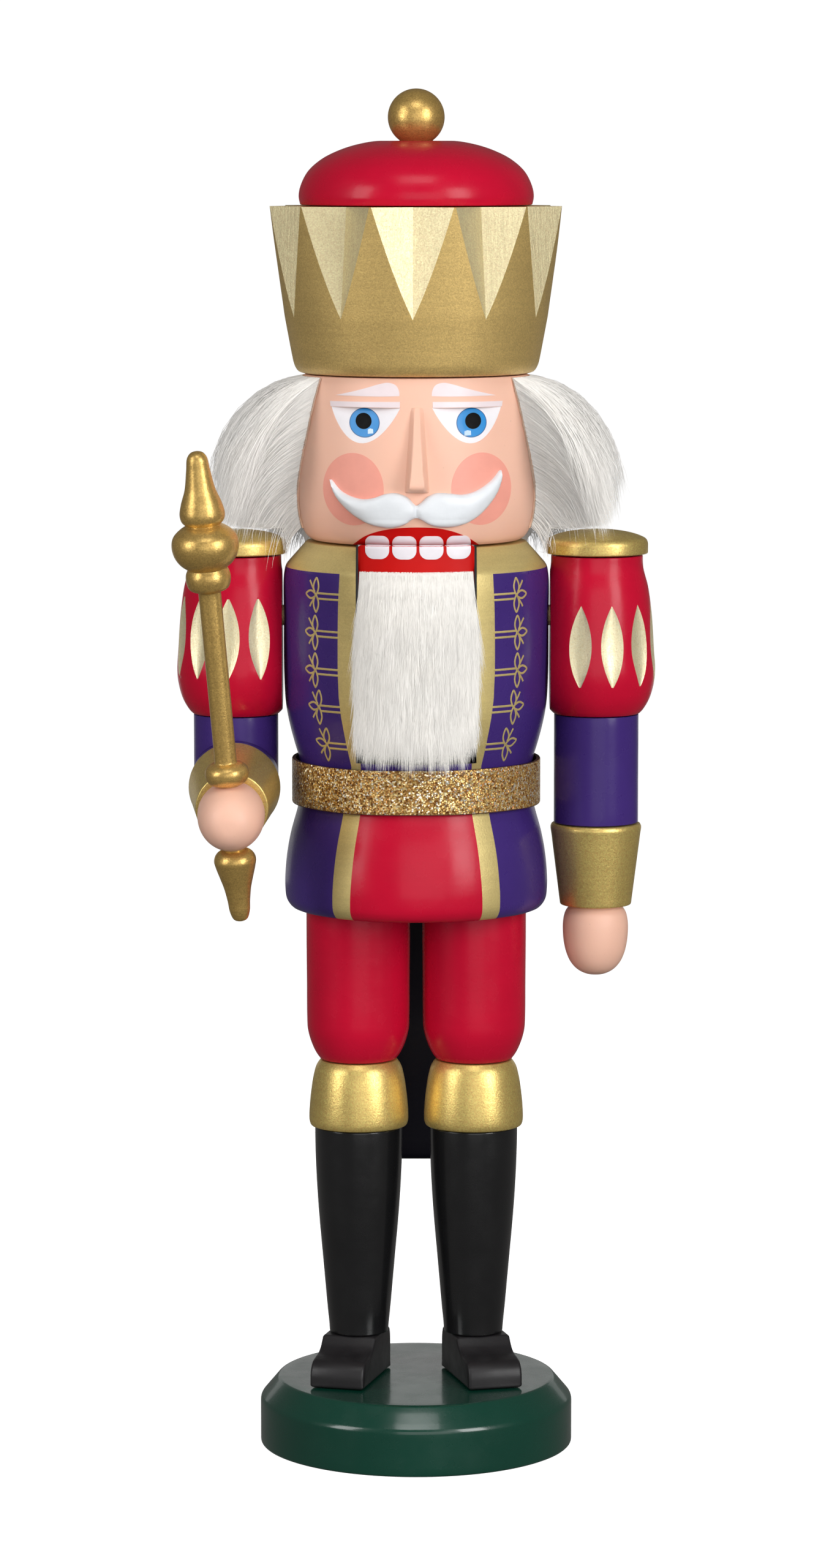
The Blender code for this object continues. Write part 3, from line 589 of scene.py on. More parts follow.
def ribbons(name, paths, at, mats, width=0.45, lift=0.09, sink=0.15):
    """Painted lines as thin closed bands. at(u, v) gives a surface point and its normal; a path may be closed."""
    bm = bmesh.new()
    for pts, shut in paths:
        p = np.array(pts, float)
        n = len(p)
        ahead = np.roll(p, -1, 0) - np.roll(p, 1, 0) if shut else np.gradient(p, axis=0)
        side = np.stack([-ahead[:, 1], ahead[:, 0]], 1)
        side /= np.maximum(np.linalg.norm(side, axis=1), 1e-9)[:, None]
        rows = []
        for q, s in zip(p, side):
            row = []
            for off, h in ((-0.5, -sink), (-0.5, lift * 0.6), (-0.28, lift), (0.28, lift), (0.5, lift * 0.6), (0.5, -sink)):
                u, v = q + s * width * off
                spot, normal = at(u, v)
                row.append(bm.verts.new(spot + normal * h))
            rows.append(row)
        m = len(rows[0])
        for a, b in list(zip(rows, rows[1:])) + ([(rows[-1], rows[0])] if shut else []):
            for k in range(m):
                bm.faces.new((a[k], a[(k + 1) % m], b[(k + 1) % m], b[k]))
        if not shut:
            bm.faces.new(rows[0])
            bm.faces.new(list(reversed(rows[-1])))
    return to_object(name, bm, mats, 50, merge=0)


SIDES = (("left", 1), ("right", -1))
LEG_X, THIGH_X, ARM_X = 17.0, 17.1, 52.9


def shift(x, y=0.0, z=0.0):
    return Matrix.Translation((x, y, z))


# ---------------------------------------------------------------- plinth and legs

place(
    lathe(
        "base_visual",
        [(0, 20.0), (40.9, 20.0, 0.7), (46.3, 13.6, 1.0), (46.3, 0.0, 0.9), (0, 0.0)],
        GREEN,
        180,
    ),
    "green_lacquer",
    "base_plate",
)


def shoe(side, s):
    """A sawn shoe block: flat sole, hollow instep, sides eased all round."""
    outline = [
        (10.4, 20.3, 0.6),
        (10.4, 30.2, 1.6),
        (9.2, 33.0, 0.9),
        (-7.6, 33.0, 0.5),
        (-8.6, 31.9),
        (-10.4, 30.2),
        (-13.0, 29.0),
        (-16.6, 28.4),
        (-19.2, 27.7),
        (-20.9, 26.2),
        (-21.7, 24.2),
        (-21.8, 20.3, 0.8),
        (10.4, 20.3),
    ]
    path = profile(outline, 0.5)[:-1]
    bm = bmesh.new()
    rows = []
    half = 8.15
    for x, inset in ((-half, 0.9), (-half + 0.12, 0.45), (-half + 0.4, 0.15), (-half + 0.9, 0.0), (half - 0.9, 0.0), (half - 0.4, 0.15), (half - 0.12, 0.45), (half, 0.9)):
        row = []
        for k, (u, v) in enumerate(path):
            a, b = path[k - 1], path[(k + 1) % len(path)]
            t = np.array(b) - np.array(a)
            n = np.array((-t[1], t[0])) / max(np.linalg.norm(t), 1e-9)
            row.append(bm.verts.new((x, u + n[0] * inset, v + n[1] * inset)))
        rows.append(row)
    n = len(path)
    for a, b in zip(rows, rows[1:]):
        for k in range(n):
            bm.faces.new((a[k], a[(k + 1) % n], b[(k + 1) % n], b[k]))
    bm.faces.new(rows[0])
    bm.faces.new(list(reversed(rows[-1])))
    bmesh.ops.transform(
        bm,
        matrix=shift(s * 17.5, 2.0) @ Matrix.Rotation(radians(s * 14.5), 4, "Z") @ shift(0, -2.0),
        verts=bm.verts,
    )
    place(to_object(f"{side}_shoe_visual", bm, SHOE, 40), "black_satin", f"{side}_shoe")


BOOT_PROFILE = [
    (0, 95.2),
    (12.95, 95.2, 0.3),
    (12.95, 92.4),
    (12.75, 84.5),
    (12.3, 75.5),
    (11.65, 66.5),
    (10.85, 57.5),
    (10.1, 49.0),
    (9.4, 41.0),
    (8.85, 35.5),
    (8.7, 33.3, 0.3),
    (0, 33.3),
]
CUFF_PROFILE = [
    (0, 115.2),
    (11.3, 115.2, 0.25),
    (12.5, 113.4),
    (13.45, 109.9),
    (14.02, 106.2),
    (14.42, 102.6),
    (14.66, 98.9),
    (14.6, 96.8),
    (14.2, 95.5, 0.5),
    (0, 95.5),
]
THIGH_PROFILE = [
    (0, 160.7),
    (15.3, 160.7, 0.3),
    (15.28, 150.0),
    (15.2, 138.0),
    (15.15, 128.5),
    (14.95, 124.4),
    (14.05, 120.8),
    (12.5, 117.3),
    (11.2, 115.5, 0.4),
    (0, 115.5),
]
for side, s in SIDES:
    shoe(side, s)
    place(lathe(f"{side}_boot_visual", BOOT_PROFILE, BOOT, 112, shift(s * LEG_X)), "black_gloss", f"{side}_boot")
    place(lathe(f"{side}_knee_cuff_visual", CUFF_PROFILE, WARM_GOLD, 112, shift(s * LEG_X), 0.6), "gold_paint", f"{side}_knee_cuff")
    place(lathe(f"{side}_thigh_visual", THIGH_PROFILE, CRIMSON, 112, shift(s * THIGH_X)), "crimson_lacquer", f"{side}_thigh")

# ---------------------------------------------------------------- torso

TORSO_PROFILE = [
    (0, 268.9),
    (32.1, 268.9, 0.4),
    (38.3, 261.9, 1.3),
    (38.8, 258.0),
    (38.82, 247.0),
    (38.7, 229.0),
    (38.2, 221.0),
    (37.1, 215.0),
    (35.6, 209.3),
    (34.2, 204.5),
    (33.6, 199.0),
    (33.9, 194.5),
    (35.0, 189.8),
    (36.8, 183.3),
    (37.9, 177.5),
    (38.5, 171.6),
    (38.6, 167.2),
    (38.1, 163.4),
    (36.6, 161.4),
    (35.3, 161.0, 0.2),
    (0, 161.0),
]
SLOT_HALF, SLOT_FLOOR = 17.35, 206.8
PLACKET = [(161, 18.0), (203.5, 18.0), (205.6, 18.7), (212.3, 20.2), (220.0, 21.6), (225.7, 22.3), (233.6, 22.6), (243.7, 22.6), (252.8, 22.45), (262.0, 22.0), (270, 21.6)]


def interp(table, z):
    return float(np.interp(z, [a for a, _ in table], [b for _, b in table]))


def torso():
    """Columns of the mesh follow the painted edges, so that each colour ends on a clean line."""
    rings = profile(TORSO_PROFILE, 0.9)
    counts = (18, 8, 56)
    bm = bmesh.new()
    loops, kinds = [], []
    for r, z in rings:
        if r < 1e-4:
            loops.append([bm.verts.new((0, 0, z))])
            continue
        skirt = min(1.0, max(0.0, (205.5 - z) / 4.0))
        a1 = asin(min(0.95, 16.0 / r)) * (1 - skirt) + radians(28.0 + (191 - z) * 0.07) * skirt
        a2 = asin(min(0.98, interp(PLACKET, z) / r)) * (1 - skirt) + radians(37.7 + (191 - z) * 0.052) * skirt
        knots = [0.0, a1, a2, pi]
        half = [0.0]
        for k, n in enumerate(counts):
            half += [knots[k] + (knots[k + 1] - knots[k]) * j / n for j in range(1, n + 1)]
        az = half[:-1] + [pi] + [-a for a in reversed(half[1:-1])]
        loops.append([bm.verts.new((r * sin(a), -r * cos(a), z)) for a in az])
    total = 2 * sum(counts)
    for (a, b), (p, q) in zip(zip(loops, loops[1:]), zip(rings, rings[1:])):
        z, r = (p[1] + q[1]) / 2, (p[0] + q[0]) / 2
        for k in range(max(len(a), len(b))):
            n = (k + 1) % total
            if len(a) == 1:
                f = bm.faces.new((a[0], b[k], b[n]))
            elif len(b) == 1:
                f = bm.faces.new((a[k], b[0], a[n]))
            else:
                f = bm.faces.new((a[k], b[k], b[n], a[n]))
            j = min(k, total - 1 - k)
            if z > 261.6:
                f.material_index = 1 if r > 1 else 3
            elif z < 203.5:
                f.material_index = 0 if z < 161.05 else 2 if j < counts[0] else 1 if j < counts[0] + counts[1] else 0
            else:
                f.material_index = 0 if j < counts[0] and z < 207.5 else 1 if j < counts[0] + counts[1] else 0
    ob = to_object("torso_visual", bm, [PURPLE, LINE_GOLD, CRIMSON, SLOT_DARK], 30)
    h = 280.0
    cut(ob, prism([(-55, SLOT_FLOOR), (55, SLOT_FLOOR), (55, h), (-55, h)], -SLOT_HALF, SLOT_HALF))
    bm = bmesh.new()
    bm.from_mesh(ob.data)
    for f in bm.faces:
        c = f.calc_center_median() / MM
        if abs(abs(c.x) - SLOT_HALF) < 0.02 and abs(f.normal.x) > 0.95 and c.z > SLOT_FLOOR - 0.1:
            f.material_index = 3
        if abs(c.z - SLOT_FLOOR) < 0.02 and f.normal.z > 0.95:
            f.material_index = 3
    bm.to_mesh(ob.data)
    bm.free()
    return resmooth(ob, 30)


place(torso(), "purple_lacquer", "torso")

TORSO_R = [(z, r) for r, z in reversed(profile(TORSO_PROFILE, 0.9)) if r > 1 and 161.0 < z < 268.9]


def on_turned(table, az, z):
    """A point of a turned surface and its outward normal."""
    r = interp(table, z)
    slope = (interp(table, z + 0.3) - interp(table, z - 0.3)) / 0.6
    n = Vector((sin(az), -cos(az), -slope)).normalized()
    return Vector((r * sin(az), -r * cos(az), z)), n


def frog(centre_az, centre_z, tilt, side, edge_az):
    """One looped braid: two tall loops, one round loop outward, two short strokes, and a double cord to the placket."""

    def loop(a, length, half, power=1.0):
        out = []
        for k in range(40):
            t = 2 * pi * k / 40
            along = (1 - cos(t)) / 2 * length
            across = half * sin(t) * (0.55 + 0.45 * sin(pi * min(along / length, 1)))
            out.append((along * cos(a) - across * sin(a), along * sin(a) + across * cos(a)))
        return out

    def turn(p):
        u, v = p
        return (u * cos(tilt) - v * sin(tilt), u * sin(tilt) + v * cos(tilt))

    parts = [
        (loop(radians(90), 4.9, 1.10), True),
        (loop(radians(-90), 4.9, 1.10), True),
        (loop(radians(2), 4.5, 1.12), True),
        ([(0.5, 0.9), (1.3, 2.0), (2.2, 3.2), (2.9, 4.1)], False),
        ([(0.6, -0.8), (1.4, -1.7), (2.2, -2.6), (2.8, -3.4)], False),
    ]
    paths = []
    r = interp(TORSO_R, centre_z)
    for pts, shut in parts:
        pts = [turn(p) for p in pts]
        paths.append(([(side * (centre_az + u / r), centre_z + v) for u, v in pts], shut))
    for dz in (0.58, -1.0):
        a0, a1 = centre_az - 0.5 / r, edge_az
        paths.append(([(side * (a0 + (a1 - a0) * k / 10), centre_z + dz) for k in range(11)], False))
    return paths


def ornament():
    """Gold braid painted down both fronts of the coat."""
    paths = []
    for x, z, tilt in ((28.9, 255.1, 0), (29.15, 244.2, 0), (29.15, 233.3, 0), (28.1, 222.6, 4), (25.8, 211.7, 11)):
        r = interp(TORSO_R, z)
        edge = asin((interp(PLACKET, z) - 0.2) / r)
        for side in (1, -1):
            paths += frog(asin(x / r), z, radians(tilt), side, edge)
    scale = 38.5

    def at(u, v):
        return on_turned(TORSO_R, u / scale, v)

    paths = [([(a * scale, z) for a, z in pts], shut) for pts, shut in paths]
    return ribbons("coat_braid", paths, at, LINE_GOLD, 0.6)


place(ornament(), "gold_paint")

# ---------------------------------------------------------------- belt


def belt():
    """A glitter strip on a brown backing, a little wavy at its edges, made as one closed ring; the lap of its ends at
    the back is not modelled.
    """
    low, high, near, far = 192.2, 205.1, 35.32, 36.5
    bm = bmesh.new()
    n = 220
    section = [(near, low), (near, high), (near + 0.35, high + 0.05), (far - 0.12, high), (far, high - 0.25)]
    section += [(far, low + (high - low) * k / 8) for k in range(7, 0, -1)] + [(far, low + 0.25), (far - 0.12, low), (near + 0.35, low - 0.05)]
    rows = []
    for k in range(n):
        a = 2 * pi * k / n
        wave = 0.10 * sin(3 * a + 0.7) + 0.07 * sin(7 * a + 2.1)
        rows.append([bm.verts.new((r * sin(a), -r * cos(a), z + wave)) for r, z in section])
    m = len(section)
    for i in range(n):
        a, b = rows[i], rows[(i + 1) % n]
        for k in range(m):
            f = bm.faces.new((a[k], a[(k + 1) % m], b[(k + 1) % m], b[k]))
            f.material_index = 0 if 3 <= k < m - 3 else 1
    return to_object("belt_visual", bm, [GLITTER, STRIP], 40)


place(belt(), "belt_strip", "belt")

# ---------------------------------------------------------------- jaw lever

JAW_R = 36.0
LEVER = [
    (-36.0, 269.9, 0.4),
    (-33.6, 269.9, 0.3),
    (-33.3, 269.0, 0.3),
    (-28.0, 269.0, 1.0),
    (-26.3, 266.0),
    (-23.5, 252.0),
    (-17.0, 241.0),
    (-8.0, 234.0),
    (4.0, 231.2),
    (20.0, 230.5),
    (40.0, 230.5),
    (45.6, 229.0),
    (48.3, 225.0),
    (49.2, 219.0),
    (49.2, 150.0),
    (49.2, 77.0, 3.0),
    (39.7, 77.0, 2.0),
    (39.7, 206.5, 1.4),
    (37.5, 207.8, 0.5),
    (3.0, 207.8, 1.0),
    (-2.0, 208.8),
    (-8.0, 211.4),
    (-14.0, 214.2),
    (-24.0, 219.2),
    (-36.0, 225.0, 1.5),
    (-36.0, 262.0),
    (-36.0, 269.9),
]


def lever():
    path = profile(LEVER, 1.6)[:-1]
    bm = bmesh.new()
    rows = []
    half = 16.7
    xs = [-half, -half + 0.1, -half + 0.35, -half + 0.8] + [-half + 1.9 + (2 * half - 3.8) * k / 16 for k in range(17)] + [half - 0.8, half - 0.35, half - 0.1, half]
    for x in xs:
        off = half - abs(x)
        inset = 0.7 * (1 - min(1, off / 0.8)) ** 2
        row = []
        for k, (y, z) in enumerate(path):
            a, b = path[k - 1], path[(k + 1) % len(path)]
            t = np.array(b) - np.array(a)
            n = np.array((t[1], -t[0])) / max(np.linalg.norm(t), 1e-9)
            follow = min(1.0, max(0.0, (-y - 26.0) / 10.0))
            lift = (JAW_R - sqrt(JAW_R**2 - x * x)) * follow
            row.append(bm.verts.new((x, y + lift + n[0] * inset, z + n[1] * inset)))
        rows.append(row)
    m = len(path)
    for a, b in zip(rows, rows[1:]):
        for k in range(m):
            f = bm.faces.new((a[k], a[(k + 1) % m], b[(k + 1) % m], b[k]))
            y = (path[k][0] + path[(k + 1) % m][0]) / 2
            f.material_index = 0 if y < -30 else 1
    for row in (rows[0], list(reversed(rows[-1]))):
        bm.faces.new(row).material_index = 1
    return to_object("jaw_lever_visual", bm, [MOUTH, SHADED_TAIL_NAVY], 40)


place(lever(), "jaw_paint", "jaw_lever", body="lever")

# ---------------------------------------------------------------- arms

SLEEVE = [
    (0, 264.7),
    (13.4, 264.7, 0.3),
    (13.6, 261.0),
    (15.0, 255.5),
    (15.9, 249.5),
    (16.45, 243.5),
    (16.85, 237.0),
    (17.2, 230.8),
    (16.75, 226.6),
    (15.5, 222.4),
    (13.6, 219.2),
    (12.6, 218.2, 0.2),
    (0, 218.2),
]
GOUGE_H, GOUGE_W, GOUGE_D, GOUGE_STEP = 12.1, 6.8, 1.0, 32.727


def sleeve(side, s, first, gouge_z):
    """The upper arm. Mesh columns bend round each gouge, so that its gold ends on a clean edge."""
    rings = profile(SLEEVE, 0.7)
    per, between = 8, 6
    count = 11 * (per + between)

    def outside(g):
        """No gouge on the side that is sawn flat against the torso."""
        return abs((first + g * GOUGE_STEP + s * 90 + 180) % 360 - 180) > 46

    bm = bmesh.new()
    loops = []
    for r, z in rings:
        if r < 1e-4:
            loops.append([bm.verts.new((s * ARM_X, 0, z))])
            continue
        t = (z - gouge_z) / GOUGE_H
        pinch = max(0.02, min(1.0, abs(1 - t * t)))
        half = GOUGE_W / 2 * pinch / r
        ring = []
        for g in range(11):
            c = radians(first + g * GOUGE_STEP)
            for j in range(per):
                u = -1 + 2 * j / per
                drop = GOUGE_D * (1 - t * t) * (1 - u * u) if abs(t) < 1 and outside(g) else 0.0
                ring.append((c + u * half, r - drop))
            lo, hi = c + half, c + radians(GOUGE_STEP) - half
            for j in range(between):
                ring.append((lo + (hi - lo) * j / between, r))
        loops.append([bm.verts.new((s * ARM_X + q * sin(a), -q * cos(a), z)) for a, q in ring])
    for (a, b), (p, q) in zip(zip(loops, loops[1:]), zip(rings, rings[1:])):
        z = (p[1] + q[1]) / 2
        in_cut = abs(z - gouge_z) < GOUGE_H - 0.3
        for k in range(count):
            n = (k + 1) % count
            if len(a) == 1:
                f = bm.faces.new((a[0], b[k], b[n]))
            elif len(b) == 1:
                f = bm.faces.new((a[k], b[0], a[n]))
            else:
                f = bm.faces.new((a[k], b[k], b[n], a[n]))
            g, j = divmod(k, per + between)
            f.material_index = 1 if in_cut and j < per and outside(g) else 0
    ob = to_object(f"{side}_sleeve_visual", bm, [CRIMSON, PALE_GOLD], 24)
    x0, x1 = (20, 39.2) if s > 0 else (-39.2, -20)
    cut(ob, prism([(-30, 200), (30, 200), (30, 280), (-30, 280)], x0, x1))
    return resmooth(ob, 24)


CAP = [
    (0, 272.3),
    (4.5, 272.05),
    (9.5, 271.3),
    (12.8, 270.3),
    (14.4, 269.4),
    (14.95, 268.3, 0.5),
    (14.95, 265.2, 0.4),
    (0, 265.0),
]
FOREARM = [(0, 217.9), (12.4, 217.9, 0.2), (12.4, 186.0, 0.3), (0, 186.0)]


def cone(top, low):
    return [(0, top - 0.3), (12.9, top - 0.3, 0.4), (13.35, top - 1.2), (13.1, top - 3.4), (10.45, low, 0.5), (0, low)]


def egg(end):
    body = [(7.6, 0.3), (8.9, 2.2), (9.55, 5.0), (9.62, 8.0), (9.3, 11.4), (8.5, 14.7), (7.2, 17.4), (5.2, 19.5), (2.7, 20.7)]
    return [(0, end - 0.3), (7.6, end - 0.3, 0.2)] + [(r, end - t) for r, t in body[1:]] + [(0, end - 21.0)]


for side, s in SIDES:
    place(lathe(f"{side}_shoulder_cap_visual", CAP, WARM_GOLD, 112, shift(s * ARM_X), 0.6), "gold_paint", f"{side}_shoulder_cap")
place(sleeve("left", 1, 14.2, 238.8), "crimson_lacquer", "left_sleeve")
place(sleeve("right", -1, -6.0, 241.3), "crimson_lacquer", "right_sleeve")
place(lathe("left_forearm_visual", FOREARM, PURPLE, 112, shift(ARM_X)), "purple_lacquer", "left_forearm")
place(lathe("left_cuff_visual", cone(186.0, 161.5), WARM_GOLD, 112, shift(ARM_X)), "gold_paint", "left_cuff")
place(lathe("left_hand_visual", egg(161.5), SKIN, 96, shift(ARM_X), 0.6), "skin_paint", "left_hand")

ELBOW_Z, DROP, RUN, CUFF_LEN, GAP = 200.5, 8.5, 14.8, 24.5, 0.3
elbow = Vector((-ARM_X, 0, ELBOW_Z))
forward = Vector((0, -cos(radians(DROP)), -sin(radians(DROP))))
mitre_normal = (Vector((0, 0, 1)) - forward).normalized()
mitre = Matrix.Translation(elbow) @ mitre_normal.to_track_quat("Z", "X").to_matrix().to_4x4()
along = Matrix.Translation(elbow) @ (-forward).to_track_quat("Z", "X").to_matrix().to_4x4()
upper = lathe("right_forearm_visual", [(0, 217.9), (12.4, 217.9, 0.2), (12.4, 176, 0.2), (0, 176)], PURPLE, 128, shift(-ARM_X))
cut(upper, prism([(-60, -60), (60, -60), (60, 0.05), (-60, 0.05)], -60, 60, mitre))
place(resmooth(upper, 30), "purple_lacquer", "right_forearm")
lower = lathe("right_elbow_visual", [(0, 22), (12.4, 22, 0.2), (12.4, -RUN, 0.3), (0, -RUN)], PURPLE, 128, along)
cut(lower, prism([(-60, -0.05), (60, -0.05), (60, 60), (-60, 60)], -60, 60, mitre))
place(resmooth(lower, 30), "purple_lacquer", "right_elbow")
cuff_end = -RUN - CUFF_LEN
place(lathe("right_cuff_visual", cone(-RUN, cuff_end), WARM_GOLD, 112, along), "gold_paint", "right_cuff")
place(lathe("right_hand_visual", egg(cuff_end), SKIN, 96, along, 0.6), "skin_paint", "right_hand")

# ---------------------------------------------------------------- scepter

grip = along @ Vector((0, 0, cuff_end - 8.4))
staff_up = Vector((0, -sin(radians(DROP)), cos(radians(DROP))))
staff = (cos(radians(4.7)) * staff_up + sin(radians(4.7)) * Vector((-1, 0, 0))).normalized()
held = Matrix.Translation(grip) @ staff.to_track_quat("Z", "Y").to_matrix().to_4x4()
STAFF = [
    (0, 106.8),
    (1.7, 106.3),
    (2.8, 104.9),
    (3.35, 101.5),
    (4.35, 95.8),
    (5.75, 91.8),
    (6.4, 88.7),
    (6.05, 86.9),
    (4.9, 85.6, 0.25),
    (6.9, 84.4),
    (8.9, 82.4),
    (9.5, 79.8),
    (9.0, 77.0),
    (7.6, 74.7),
    (5.6, 73.0, 0.25),
    (6.25, 71.4),
    (6.3, 69.2),
    (5.5, 67.2),
    (3.2, 66.2, 0.3),
    (3.14, 16.1, 0.3),
    (4.9, 15.5),
    (6.0, 14.3),
    (6.25, 12.7),
    (5.9, 11.2),
    (4.9, 10.0),
    (3.0, 9.6, 0.2),
    (3.0, -10.0, 0.1),
    (0, -10.0),
]
DROP_END = [
    (0, -9.9),
    (3.1, -9.9),
    (4.4, -10.2),
    (5.5, -11.2),
    (6.05, -12.8),
    (5.65, -15.0),
    (4.85, -17.8),
    (3.95, -21.0),
    (3.25, -25.0),
    (2.85, -28.4),
    (1.9, -30.6),
    (0, -31.3),
]
place(lathe("scepter_visual", STAFF, STAFF_GOLD, 96, held, 0.5), "gold_paint", "scepter")
place(lathe("scepter_finial_visual", DROP_END, STAFF_GOLD, 96, held, 0.5), "gold_paint", "scepter_finial")

# ---------------------------------------------------------------- head and face

HEAD_PROFILE = [
    (0, 317.6),
    (32.6, 317.6, 0.4),
    (33.6, 310.0),
    (34.3, 301.0),
    (34.8, 291.5),
    (35.0, 284.0),
    (34.6, 278.0),
    (33.3, 273.0),
    (32.0, 270.7),
    (30.4, 269.5, 0.3),
    (0, 269.5),
]
HEAD_R = [(z, r) for r, z in reversed(profile(HEAD_PROFILE, 0.6)) if r > 1 and 269.5 < z < 317.59]
EYE_AZ, LEDGE, EYE_SLOPE, EYE_NEAR = 27.0, 309.2, 0.258, 31.8


def head():
    ob = lathe("head_visual", HEAD_PROFILE, [SKIN, EYE_WHITE], 192, None, 0.6)
    tools = []
    for s in (1, -1):
        wedge = [(-EYE_NEAR, LEDGE), (-46, LEDGE), (-46, LEDGE - 18), (-(EYE_NEAR + 17 * EYE_SLOPE), LEDGE - 17)]
        tools.append(prism(wedge, -16, 16, Matrix.Rotation(radians(s * EYE_AZ), 4, "Z")))
    cut(ob, *tools)
    bm = bmesh.new()
    bm.from_mesh(ob.data)
    for f in bm.faces:
        f.material_index = 0
        c = f.calc_center_median() / MM
        for s in (1, -1):
            u = Vector((sin(radians(s * EYE_AZ)), -cos(radians(EYE_AZ)), 0))
            reach = EYE_NEAR + (LEDGE - c.z) * EYE_SLOPE
            if abs(c.dot(u) - reach) < 0.03 and 296 < c.z < LEDGE and f.normal.dot(Vector((u.x, u.y, EYE_SLOPE)).normalized()) > 0.9995:
                f.material_index = 1
    bm.to_mesh(ob.data)
    bm.free()
    return resmooth(ob, 20)


place(head(), "skin_paint", "head")


def on_head(x, z):
    r = interp(HEAD_R, z)
    return on_turned(HEAD_R, asin(max(-0.999, min(0.999, x / r))), z)


def on_eye(s):
    a = radians(s * EYE_AZ)
    ux, uy = sin(a), -cos(a)
    normal = Vector((ux, uy, EYE_SLOPE)).normalized()

    def at(x, z):
        reach = EYE_NEAR + (LEDGE - z) * EYE_SLOPE
        return Vector((x, (reach - x * ux) / uy, z)), normal

    return at


def oval(cx, cz, rx, rz, n=72, turn=0.0):
    return [
        (cx + rx * cos(2 * pi * k / n) * cos(turn) - rz * sin(2 * pi * k / n) * sin(turn), cz + rx * cos(2 * pi * k / n) * sin(turn) + rz * sin(2 * pi * k / n) * cos(turn))
        for k in range(n)
    ]


BROW_LEFT = [(-23.2, 312.45), (-17.6, 313.85), (-13.9, 314.9), (-10.8, 315.85), (-8.0, 316.35), (-5.8, 315.6), (-4.9, 313.9), (-4.8, 312.6)]
brow = [tuple(p) for p in spline(BROW_LEFT, 0.4)] + [(-8.0, 312.45), (-11.0, 312.4), (-15.0, 312.4), (-19.0, 312.45)]
place(film("brows", [dense(brow, 0.4), dense([(-x - 0.4, z) for x, z in reversed(brow)], 0.4)], on_head, BROW, 0.12), "skin_paint")
lid = [(-24.7, 310.75), (-24.5, 309.25), (-4.7, 309.3), (-4.65, 310.95)]
place(film("eyelids", [dense(lid, 0.5), dense([(-x + 0.0, z) for x, z in reversed(lid)], 0.5)], on_head, BROW, 0.16), "skin_paint")
for side, s, cx, px in (("left", 1, 15.8, 16.2), ("right", -1, -14.8, -15.0)):
    # The glint is a painted reflection of a window, a pale film on the iris.
    gx, gz, gw = (14.7, 301.9, 1.0) if s > 0 else (-12.95, 302.45, 0.8)
    rim = lambda d: 0.06 * min(1.0, d / 0.6)
    place(film(f"{side}_iris_ring", [oval(cx, 304.85, 4.35, 4.2, 96)], on_eye(s), RING, 0.05, 0.1, 0.8, rim), "skin_paint")
    place(film(f"{side}_iris", [oval(cx, 304.85, 4.12, 3.97, 96)], on_eye(s), IRIS, 0.09, 0.1, 0.8, lambda d: 0.08 * min(1.0, d / 1.2)), "skin_paint")
    place(film(f"{side}_pupil", [oval(px, 305.3, 2.3, 2.3, 64)], on_eye(s), PUPIL, 0.20, 0.05, 0.6, lambda d: 0.12 * min(1.0, d / 1.0)), "skin_paint")
    glint = [(gx - gw, gz - 0.75), (gx + gw * 0.9, gz - 0.6), (gx + gw * 0.85, gz + 0.6), (gx - gw * 0.2, gz + 0.8), (gx - gw, gz + 0.5)]
    place(film(f"{side}_eye_glint", [dense(glint, 0.3)], on_eye(s), GLINT, 0.21, 0.05, 0.5), "skin_paint")
place(
    film("cheeks", [oval(-18.05, 285.8, 8.75, 10.4), oval(18.65, 285.9, 8.65, 10.4)], on_head, CHEEK, 0.06, 0.2, 1.1),
    "skin_paint",
)
LIP = [(-18.2, 269.6), (-15.1, 272.1), (-11.4, 273.7), (-6.4, 274.75), (0.3, 275.15), (6.7, 274.75), (11.7, 273.4), (15.5, 271.5), (18.0, 269.6)]
lip = [tuple(p) for p in spline(LIP, 0.5)]
lip += [(18.0 - 36.2 * k / 40, 269.6) for k in range(1, 40)]
place(film("upper_lip", [lip], on_head, MOUTH, 0.08, 0.2, 0.7), "jaw_paint")


def tooth(x0, x1, low, high, up):
    """A square tooth with its free corners rounded; up is True for the half on the head."""
    r, out = (2.0 if up else 2.5), []
    a, b = (high, low) if up else (low, high)
    f = 1 if up else -1
    for k in range(9):
        t = pi / 2 * k / 8
        out.append((x0 + r - r * cos(t), a - f * (r - r * sin(t))))
    for k in range(9):
        t = pi / 2 * k / 8
        out.append((x1 - r + r * sin(t), a - f * (r - r * cos(t))))
    return dense(out + [(x1, b), (x0, b)], 0.6)


def on_jaw(x, z):
    """The jaw front; above 269.5 the height runs on over the eased edge and back along the flat top."""
    y = -sqrt(JAW_R**2 - x * x)
    out = Vector((x / JAW_R, y / JAW_R, 0))
    if z <= 269.5:
        return Vector((x, y, z)), out
    if z < 270.1:
        t = (z - 269.5) / 0.6 * pi / 2
        n = out * cos(t) + Vector((0, 0, sin(t)))
        return Vector((x, y, 269.5)) - out * 0.4 + n * 0.4, n
    return Vector((x, y, 269.9)) - out * (0.4 + z - 270.1), Vector((0, 0, 1))


TEETH = [(-14.6, -7.75), (-6.85, 0.05), (0.9, 7.75), (8.65, 15.6)]
place(film("upper_teeth", [tooth(a, b, 269.6, 272.6, True) for a, b in TEETH], on_head, TOOTH, 0.20, 0.2, 0.6, lambda d: 0.12 * min(1.0, d / 0.8)), "jaw_paint")
place(
    film("lower_teeth", [tooth(a, b, 266.1, 271.6, False) for a, b in TEETH], on_jaw, TOOTH, 0.12, 0.2, 0.6, lambda d: 0.12 * min(1.0, d / 0.8)),
    "jaw_paint",
    body="lever",
)


